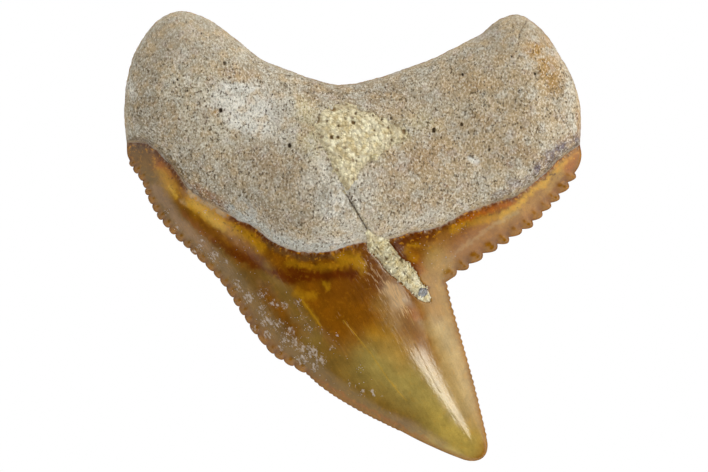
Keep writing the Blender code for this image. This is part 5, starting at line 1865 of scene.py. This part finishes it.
@dataclass
class ToothPiece:
    """Root and crown in one closed body, painted and given its fine relief."""

    form: ToothForm
    bone_spacing: float = 0.08
    enamel_spacing: float = 0.105
    outer_spacing: float = 0.32
    clear: float = 0.055
    neck_rows: tuple[float, ...] = (-0.07, 0.07, 0.14)
    hairline_step: float = 0.07
    warp: float = 0.2
    warp_length: float = 0.7
    fray: float = 0.7
    fray_length: float = 0.22
    bead_middle: Point = (-1.4, 2.4)
    bead_reach: Point = (4.6, 2.6)
    pore_squeeze: Point = (1.25, 0.85)

    def build(self, effects: SharedEffects, tree: bpy.types.NodeTree) -> bpy.types.Object:
        """Build, paint and dress the tooth.

        Args:
            effects: The shared shader groups.
            tree: The geometry node tree that raises the grain.

        Returns:
            The piece.
        """
        raw = shell("tooth_raw", self.upper(), self.lower())
        self.paint(raw.data)
        return grown(raw, tree, "tooth_body", {
            "Grain Size": 0.0002, "Grain Height": 0.00004, "Lump Size": 0.0008,
            "Lump Height": 0.00014, "Pore Depth": 0.0001,
            "Bone": BoneFinish().material(effects), "Enamel": EnamelFinish().material(effects),
        })

    def upper(self) -> Sheet:
        """Places, heights and triangles of the upper face."""
        form = self.form
        bone = grid_points(form.root_loop, self.bone_spacing)
        crown_loop = np.vstack([form.neck, form.short_side[1:], form.long_side[1:-1]])
        fill = np.vstack([bone, grid_points(crown_loop, self.enamel_spacing)])
        rows = [form.neck + outward_of(form.neck) * d for d in self.neck_rows]
        near = np.full(len(fill), np.inf)
        for hairline in HAIRLINES:
            near = np.minimum(near, near_segments(fill, hairline.line))
            line = smooth_curve(hairline.line, self.hairline_step)
            across = outward_of(line) * (hairline.width * 1.3)
            rows += [line, line + across, line - across]
        rows = np.vstack(rows)
        survey = Survey(form, fill)
        reach = max(self.neck_rows) + self.clear
        clear = (survey.to_rim > self.clear) & (survey.gap("neck") > reach)
        fill = fill[clear & (near > 2 * self.clear)]
        rows = rows[inside(rows, form.outline)]
        rows = rows[Survey(form, rows).to_rim > self.clear]
        places, faces = triangulated(form.outline, [form.neck], np.vstack([rows, fill]))
        return places, Survey(form, places).bedded_face, faces

    def lower(self) -> Sheet:
        """Places, heights and triangles of the flat outer face."""
        form = self.form
        fill = grid_points(form.outline, self.outer_spacing)
        survey = Survey(form, fill)
        near_neck = survey.gap("outer_neck") > self.outer_spacing / 3
        fill = fill[(survey.to_rim > self.outer_spacing / 2) & near_neck]
        places, faces = triangulated(form.outline, [form.outer_neck], fill)
        return places, Survey(form, places).outer_face, faces

    def paint(self, mesh: bpy.types.Mesh) -> None:
        """Store the tints and masks that the materials and the relief read.

        Args:
            mesh: The tooth's mesh.
        """
        points = points_of(mesh)
        places = points[:, :2]
        survey = Survey(self.form, places)
        on_top = points[:, 2] > survey.rim - ON_LINE
        bone = np.where(on_top, survey.in_root, survey.in_outer_root)
        bend = np.column_stack([
            relief(places, self.warp_length, seed)
            + 0.5 * relief(places, self.warp_length / 3, seed)
            + self.fray * relief(places, self.fray_length, seed)
            for seed in (11.3, 27.9)
        ])
        bent = places + self.warp * bend
        at_neck = np.where(on_top, survey.gap("neck"), survey.gap("outer_neck"))
        inner, outer = (self.enamel_tint(survey, bent, at_neck, washes)
                        for washes in (ENAMEL_WASHES, OUTER_WASHES))
        enamel = np.where(on_top[:, None], inner, outer)
        coat = Coat(np.where(bone[:, None], self.bone_tint(survey, bent), enamel))
        for hairline in HAIRLINES:
            coat.lay(hairline.tint, hairline.strength * hairline.share(places))
        store(mesh, "tint", coat.colour)
        edge = np.minimum(survey.gap("neck"), survey.gap("root"))
        low = ease((13.6 - places[:, 1]) / 3.0)
        off = (places - self.bead_middle) / self.bead_reach
        dust = np.minimum(1, 1.5 * near_spots(bent, CRUMBS + CHALK_SPOTS))
        masks = {
            "bone": bone.astype(float),
            "bone_grain": bone * ease(edge / 0.4 + 0.25) * (0.35 + 0.65 * low),
            "crust": bell(at_neck / 0.9),
            "beads": bone * np.exp(-np.sum(off**2, axis=1)),
            "pore": highest(self.dark_spots(places, bend)) * on_top,
            "dust": dust * on_top,
        }
        for name, strokes in (("scuff_and_sheen", SCUFF_AND_SHEEN_STROKES), ("dull", DULL_STROKES)):
            masks[name] = on_top * highest(
                density * bell(near_segments(bent, line) / width)
                for width, density, line in strokes
            )
        for name, values in masks.items():
            store(mesh, name, values)
        self.mark_bone_faces(mesh)

    def dark_spots(self, places: np.ndarray, bend: np.ndarray) -> Iterator[np.ndarray]:
        """How dark each pore and each fine crack is, as painted shade in its hollow.

        Args:
            places: The places.
            bend: How far each is bent, so that no pore is quite round.

        Yields:
            The darkness at every place, one pore or crack at a time.
        """
        for x, y, radius in PORES:
            away = np.hypot(*((places - (x, y)) * self.pore_squeeze).T) + 0.05 * bend[:, 0]
            yield 1 - ease((away - radius * 0.35) / radius)
        for hairline in HAIRLINES:
            yield hairline.dark * hairline.share(places)

    def mark_bone_faces(self, mesh: bpy.types.Mesh) -> None:
        """Store which faces are bone.

        Args:
            mesh: The tooth's mesh.
        """
        middles = read(mesh.polygons, "center").astype(float) / MM
        survey = Survey(self.form, middles[:, :2])
        upper = inside(survey.places, self.form.root_loop)
        on_bone = np.where(middles[:, 2] > survey.rim, upper, survey.in_outer_root)
        kept = mesh.attributes.new("is_bone", "BOOLEAN", "FACE")
        kept.data.foreach_set("value", on_bone)

    def bone_tint(self, survey: Survey, bent: np.ndarray) -> np.ndarray:
        """The bone's colour, stroke by stroke, darker at the neck.

        Args:
            survey: The places, with their distances to the form's lines.
            bent: The same places, bent so that no stroke looks ruled.

        Returns:
            The colour at each place.
        """
        coat = Coat.plain(Tint.CREAM, len(bent))
        x, y = survey.places.T
        coat.lay(Tint.TAN_BONE, ease((7.5 - y) / 6.0) * 0.3)
        coat.wash(bent, BONE_WASHES)
        sides = ease((np.abs(x - 0.5) - 7.0) / 2.5)
        at_neck = survey.gap("neck") + 0.25 * relief(survey.places, 0.25, 6.3)
        split = bell((x - 0.4) / 1.4)
        pale = ease((x + 8.6) / 0.8) * (1 - ease((x + 1.0) / 2.0))
        dark = (0.35 + 0.4 * sides - 0.3 * split) * (1 - 0.8 * pale)
        coat.lay(Tint.STAIN, dark * (1 - ease((at_neck - 0.1) / 0.5)))
        return coat.colour

    def enamel_tint(
        self, survey: Survey, bent: np.ndarray, to_neck: np.ndarray, washes: Sequence[Wash]
    ) -> np.ndarray:
        """The enamel's colour, stroke by stroke, golden along the cutting edge, and darker along the
        neck with stain and, on the upper face, a painted shadow of the root's lip.

        Args:
            survey: The places, with their distances to the form's lines.
            bent: The same places, bent so that no stroke looks ruled.
            to_neck: Distance from each to the neck of its own face.
            washes: The strokes in order.

        Returns:
            The colour at each place.
        """
        coat = Coat.plain(Tint.AMBER, len(bent))
        coat.wash(bent, washes)
        at_rim = np.minimum(survey.gap("short"), survey.gap("long"))
        coat.lay(Tint.KNOB, 0.75 * (1 - ease((at_rim - 0.1) / 0.25)))
        for line, teeth, reach in (("shoulder", SHOULDER_TEETH, 0.26), ("heel", HEEL_TEETH, 0.36)):
            away, wave = survey.tooth_wave(line, teeth)
            near = 1 - ease((away - 0.5 * reach) / reach)
            # Umber in the valleys between the teeth is painted shade; the teeth themselves are laid
            # golden.
            coat.lay(Tint.UMBER, 0.35 * near * ease((-wave - 0.2) / 0.9))
            coat.lay(Tint.KNOB, 0.85 * near * ease((wave + 0.5) / 0.9))
        # Umber along the neck: real stain, and on the upper face also the painted shadow that the
        # root's lip casts on the enamel.
        shadow_stain_patches = relief(survey.places, 0.5, 8.2) * 0.5 + 0.5
        at_neck = to_neck + 0.1 * relief(survey.places, 0.2, 3.1)
        x = survey.places[:, 0]
        lip = ease((x + 11.2) / 0.5) * (1 - ease((x + 8.5) / 0.7))
        dark = (1 - ease((at_neck - 0.06) / 0.3)) * (0.5 + 0.5 * shadow_stain_patches) * (1 - 0.7 * lip)
        coat.lay(Tint.UMBER, dark)
        # Pale dots along the neck, and on the lip a pale line: crushed enamel with a painted
        # highlight on the lip's ridge.
        dots = ease((relief(survey.places, 0.13, 7.7) - 0.05) / 0.2)
        near = bell((to_neck - 0.08) / 0.12)
        line = np.maximum(dots, 0.8 * lip)
        coat.lay(Tint.PEARL, near * line * (0.35 + 0.5 * lip))
        return coat.colour


@dataclass
class SandLot:
    """One lot of cemented sand: a rough crust with grains bedded in it."""

    form: ToothForm
    name: str
    loop: np.ndarray
    seed: int
    smallest: float
    largest: float
    apart: float
    fray: float = 0.12
    spacing: float = 0.06
    rise: float = 0.26
    round_in: float = 0.8
    edge_drop: float = 0.1
    lump_height: float = 0.12
    lump_length: float = 0.55
    pit_height: float = 0.1
    pit_length: float = 0.2
    hole_depth: float = 0.14
    gap_width: float = 0.035
    edge_fade: float = 0.9
    flatness: float = 0.75
    smooth: bool = True
    thickness: float = 0.5

    def build(
        self, look: bpy.types.Material, tree: bpy.types.NodeTree
    ) -> tuple[bpy.types.Object, bpy.types.Object]:
        """Build and dress the crust and its grains.

        Args:
            look: The sand's material.
            tree: The geometry node tree that beds the grains.

        Returns:
            The crust and the grains.
        """
        ragged = closed(self.loop)
        frays = relief(ragged, 0.3, self.seed + 0.5) + relief(ragged, 0.9, self.seed + 0.2)
        out = outward_of(ragged) * (frays * self.fray + 0.06)[:, None]
        outline = smooth_loop((ragged + out)[:-1])
        self.track = Track(closed(outline))
        fill = grid_points(outline, self.spacing)
        fill = fill[self.track.distance(fill) > self.spacing * 0.6]
        places, faces = triangulated(outline, [], fill)
        into = self.track.distance(places)
        base = Survey(self.form, places).upper_face - self.edge_drop
        lumps = relief(places, self.lump_length, self.seed) * self.lump_height
        lumps += relief(places, self.pit_length, self.seed + 3) * self.pit_height
        crust = self.rise * ease(into / self.round_in) + lumps * ease(into / 0.15)
        top = base + crust - self.hole_depth * self.holes(places) * ease(into / 0.1)
        bottom = base - (self.thickness - self.edge_drop) * ease(into / 0.2)
        top = np.maximum(top, bottom)
        piece = shell(f"{self.name}_crust", (places, top, faces), (places, bottom, faces))
        places = points_of(piece.data)[:, :2]
        store(piece.data, "pore", self.holes(places))
        store(piece.data, "thin", self.thin(places))
        piece.data.materials.append(look)
        keep_in_box(piece)
        return piece, self.grains(piece, look, tree)

    def thin(self, places: np.ndarray) -> np.ndarray:
        """How near each place is to where the sand runs out, from 0 to 1.

        Args:
            places: The places.

        Returns:
            A share for each.
        """
        ragged = self.track.distance(places) + 0.4 * relief(places, 0.5, 3.3)
        ragged += 0.25 * relief(places, 0.17, 5.3)
        return 1 - ease((ragged - 0.05) / self.edge_fade)

    def holes(self, places: np.ndarray) -> np.ndarray:
        """How deep each place is in a pit or a gap of the sand, from 0 to 1.

        Args:
            places: The places.

        Returns:
            A share for each.
        """
        worn = 0.06 * relief(places, 0.15, 1.2)
        pits = highest(
            1 - ease((np.hypot(*(places - (x, y)).T) + worn - radius * 0.4) / (radius * 0.8))
            for x, y, radius in SAND_PITS
        )
        worn = 0.03 * relief(places, 0.12, 4.4)
        gaps = highest(
            bell((near_segments(places, line) + worn) / self.gap_width) for line in SAND_GAPS
        )
        return np.maximum(pits, gaps)

    def grains(
        self, crust: bpy.types.Object, look: bpy.types.Material, tree: bpy.types.NodeTree
    ) -> bpy.types.Object:
        """The grains bedded in the crust's upper side, but not in its pits.

        Args:
            crust: The crust.
            look: The sand's material.
            tree: The geometry node tree that beds the grains.

        Returns:
            The piece.
        """
        bed = linked("bed", crust.data.copy())
        places = points_of(bed.data)[:, :2]
        up = read(bed.data.vertices, "normal")[:, 2] > 0.3
        share = up * (1 - ease(self.holes(places) / 0.5))
        store(bed.data, "share", share * (1 - 0.5 * self.thin(places)))
        grains = grown(bed, tree, f"{self.name}_grains", {
            "Spacing": self.apart * MM, "Density": 9e7, "Smallest": self.smallest * MM,
            "Largest": self.largest * MM, "Flatness": self.flatness, "Sink": 0.00002,
            "Roughness": 0.5 * self.largest * MM, "Seed": self.seed, "Material": look,
            "Smooth": self.smooth,
        })
        store(grains.data, "thin", self.thin(points_of(grains.data)[:, :2]))
        return grains


@dataclass
class Pebble:
    """One rounded pebble set in the sand."""

    form: ToothForm
    name: str
    place: Point
    radius: float
    flatness: float = 0.5
    rise: float = 0.16
    roughness: float = 0.8

    def build(self, look: bpy.types.Material) -> bpy.types.Object:
        """Build and dress the pebble.

        Args:
            look: Its material.

        Returns:
            The piece.
        """
        mesh = bmesh.new()
        bmesh.ops.create_icosphere(mesh, subdivisions=3, radius=self.radius)
        floor = Survey(self.form, np.array([self.place])).upper_face[0]
        for corner in mesh.verts:
            dent = noise.noise(corner.co / self.radius * 1.3 + Vector((*self.place, 0)))
            corner.co *= 1 + self.roughness * dent
            corner.co.z = corner.co.z * self.flatness + floor + self.rise
            corner.co.x += self.place[0]
            corner.co.y += self.place[1]
            corner.co *= MM
        piece = smooth_piece(self.name, mesh)
        piece.data.materials.append(look)
        return piece


@dataclass
class CrownCrumbs:
    """Pale mineral crumbs that cling to the crown's upper face."""

    form: ToothForm
    spacing: float = 0.08
    margin: float = 0.25
    least: float = 0.04
    clump_length: float = 0.16

    def build(self, effects: SharedEffects, tree: bpy.types.NodeTree) -> bpy.types.Object:
        """Build and dress the crumbs.

        Args:
            effects: The shared shader groups.
            tree: The geometry node tree that beds the crumbs.

        Returns:
            The piece.
        """
        form = self.form
        grid = grid_points(form.outline, self.spacing)
        grid = grid[near_spots(grid, CRUMBS) > self.least]
        low, high = grid.min(0) - 1, grid.max(0) + 1
        corners = np.array([low, (high[0], low[1]), high, (low[0], high[1])])
        places, faces = triangulated(corners, [], grid)
        survey = Survey(form, places)
        share = near_spots(places, CRUMBS)
        on = (survey.to_rim > self.margin) & ~survey.in_root & inside(places, form.outline)
        on &= share > self.least
        data = bpy.data.meshes.new("crumb_bed")
        points = np.column_stack([places, survey.crown_top]) * MM
        data.from_pydata(points.tolist(), [], [face for face in faces if on[face].all()])
        clumps = ease((relief(places, self.clump_length, 2.9) + 0.25) / 0.4)
        store(data, "share", share * clumps)
        return grown(linked("crumb_bed", data), tree, "crown_crumbs", {
            "Spacing": 0.00008, "Density": 1.1e8, "Smallest": 0.000018, "Largest": 0.000046,
            "Flatness": 0.5, "Sink": 0.0, "Roughness": 0.00003, "Seed": 5, "Smooth": True,
            "Material": CrumbFinish().material(effects),
        })


# The studio


@dataclass
class Studio:
    """A pale floor, soft lights and the camera over the tooth."""

    frame_width: float = 46.58
    pixels_wide: float = 708
    pixel_centre: float = 353.0
    lens: float = 600.0
    sensor: float = 36.0
    focus_height: float = 1.5
    floor_size: float = 0.6
    dome_high: float = 1.86
    dome_top: float = 0.02
    dome_seen: float = 0.95
    key_radiance: float = 13.6
    key_azimuth: float = -3.0
    key_zenith: float = 25.0
    key_angle: float = 17.0
    key_distance: float = 0.45

    def build(self) -> None:
        """Set up the floor, the dome, the key light and the camera."""
        self.floor()
        self.dome()
        self.key_light()
        self.camera()
        bpy.context.scene.view_settings.view_transform = "Standard"

    def floor(self) -> None:
        """The floor, which the camera sees as plain white."""
        half = self.floor_size / 2
        corners = [(-half, -half, 0), (half, -half, 0), (half, half, 0), (-half, half, 0)]
        data = bpy.data.meshes.new("floor")
        data.from_pydata(corners, [], [(0, 1, 2, 3)])
        sheet = LookSheet("pale_floor")
        data.materials.append(sheet.dress({"Base Color": (0.8, 0.8, 0.8), "Roughness": 1.0}))
        glow = sheet.add("ShaderNodeEmission", {"Color": (1.0, 1.0, 1.0), "Strength": 1.0})
        seen = sheet.add("ShaderNodeLightPath")["Is Camera Ray"]
        plain = Wire(sheet, sheet.tree.nodes["Principled BSDF"].outputs[0])
        mixed = sheet.add("ShaderNodeMixShader", {0: seen, 1: plain, 2: glow})
        sheet.feed(sheet.tree.nodes["Material Output"], {"Surface": mixed})
        linked("floor", data)

    def dome(self) -> None:
        """Soft light from all round, with little from straight above."""
        world = bpy.data.worlds.new("dome")
        world.use_nodes = True
        sheet = NodeSheet(world.node_tree)
        place = sheet.add("ShaderNodeTexCoord")["Generated"]
        parts = sheet.add("ShaderNodeSeparateXYZ", {0: place})
        side = parts[0] * 0.3 + parts[1] * 0.15
        level = (side + 1.0) * (self.dome_high - self.dome_top)
        level = level * parts[2].ramp(0.66, 0.44) + self.dome_top
        seen = sheet.add("ShaderNodeLightPath")["Is Camera Ray"]
        strength = sheet.add("ShaderNodeMix", {0: seen, 2: level, 3: self.dome_seen})
        back = world.node_tree.nodes["Background"]
        sheet.feed(back, {"Color": (1.0, 1.0, 1.0), "Strength": strength})
        bpy.context.scene.world = world

    def key_light(self) -> None:
        """A round soft light that looks at the tooth from its right."""
        turn, tilt = math.radians(self.key_azimuth), math.radians(self.key_zenith)
        aim = Vector((math.cos(turn) * math.sin(tilt), math.sin(turn) * math.sin(tilt),
                      math.cos(tilt)))
        radius = self.key_distance * math.tan(math.radians(self.key_angle / 2))
        light = bpy.data.lights.new("key_light", "AREA")
        light.shape = "DISK"
        light.size = 2 * radius
        light.energy = self.key_radiance * math.pi * math.pi * radius**2
        made = linked("key_light", light)
        made.location = aim * self.key_distance
        made.rotation_euler = aim.to_track_quat("Z", "Y").to_euler()
        made.visible_camera = False

    def camera(self) -> None:
        """The camera, looking straight down on the tooth."""
        data = bpy.data.cameras.new("camera")
        data.sensor_width = self.sensor
        data.lens = self.lens
        data.clip_start, data.clip_end = 0.01, 10.0
        made = linked("camera", data)
        distance = self.lens * self.frame_width / self.sensor + self.focus_height
        shift = (self.pixels_wide / 2 - self.pixel_centre) * self.frame_width / self.pixels_wide
        made.location = (shift * MM, 0, distance * MM)
        bpy.context.scene.camera = made


def adopt(piece: bpy.types.Object, slot: str, *nodes: str) -> None:
    """Attach a piece to the root body, hide the solids it stands for, and log its faces.

    Args:
        piece: The finished piece.
        slot: Not used.
        *nodes: The solids it stands for.
    """
    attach(piece, "root")
    if nodes:
        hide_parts(*nodes)
    log.info("%s: %d faces", piece.name, len(piece.data.polygons))


def main() -> None:
    """Build every piece in order and report it."""
    logging.basicConfig(level=logging.INFO, format="%(name)s: %(message)s")
    form = ToothForm()
    effects = SharedEffects()
    grains = scatter_tree()
    adopt(ToothPiece(form).build(effects, relief_tree()), "tooth", "tooth")
    patch_look = SandFinish("patch_sand")
    patch = SandLot(form, "sand_patch", form.patch, seed=21, smallest=0.04, largest=0.11,
                    apart=0.13, fray=0.34, rise=0.2, lump_height=0.08, pit_height=0.08)
    fill_look = SandFinish("fill_sand", linear(244, 238, 206), linear(222, 206, 158),
                           grain_size=0.00026, gap_share=0.22)
    fill = SandLot(form, "sand_fill", form.fill, seed=34, smallest=0.07, largest=0.2,
                   apart=0.19, round_in=0.35, lump_height=0.08, lump_length=0.4,
                   pit_height=0.05, edge_fade=0.12, flatness=0.36, smooth=False)
    for lot, look in ((patch, patch_look), (fill, fill_look)):
        crust, bedded = lot.build(look.material(effects), grains)
        adopt(crust, "sand", lot.name)
        adopt(bedded, "sand")
    for number, (x, y, radius, light, dark) in enumerate(PEBBLES, 1):
        name = f"pebble_{number}"
        look = SandFinish(name, linear(*light), linear(*dark), grain_size=0.00014)
        adopt(Pebble(form, name, (x, y), radius).build(look.material(effects)), "sand")
    adopt(CrownCrumbs(form).build(effects, grains), "sand")
    Studio().build()


if __name__ == "__main__":
    main()
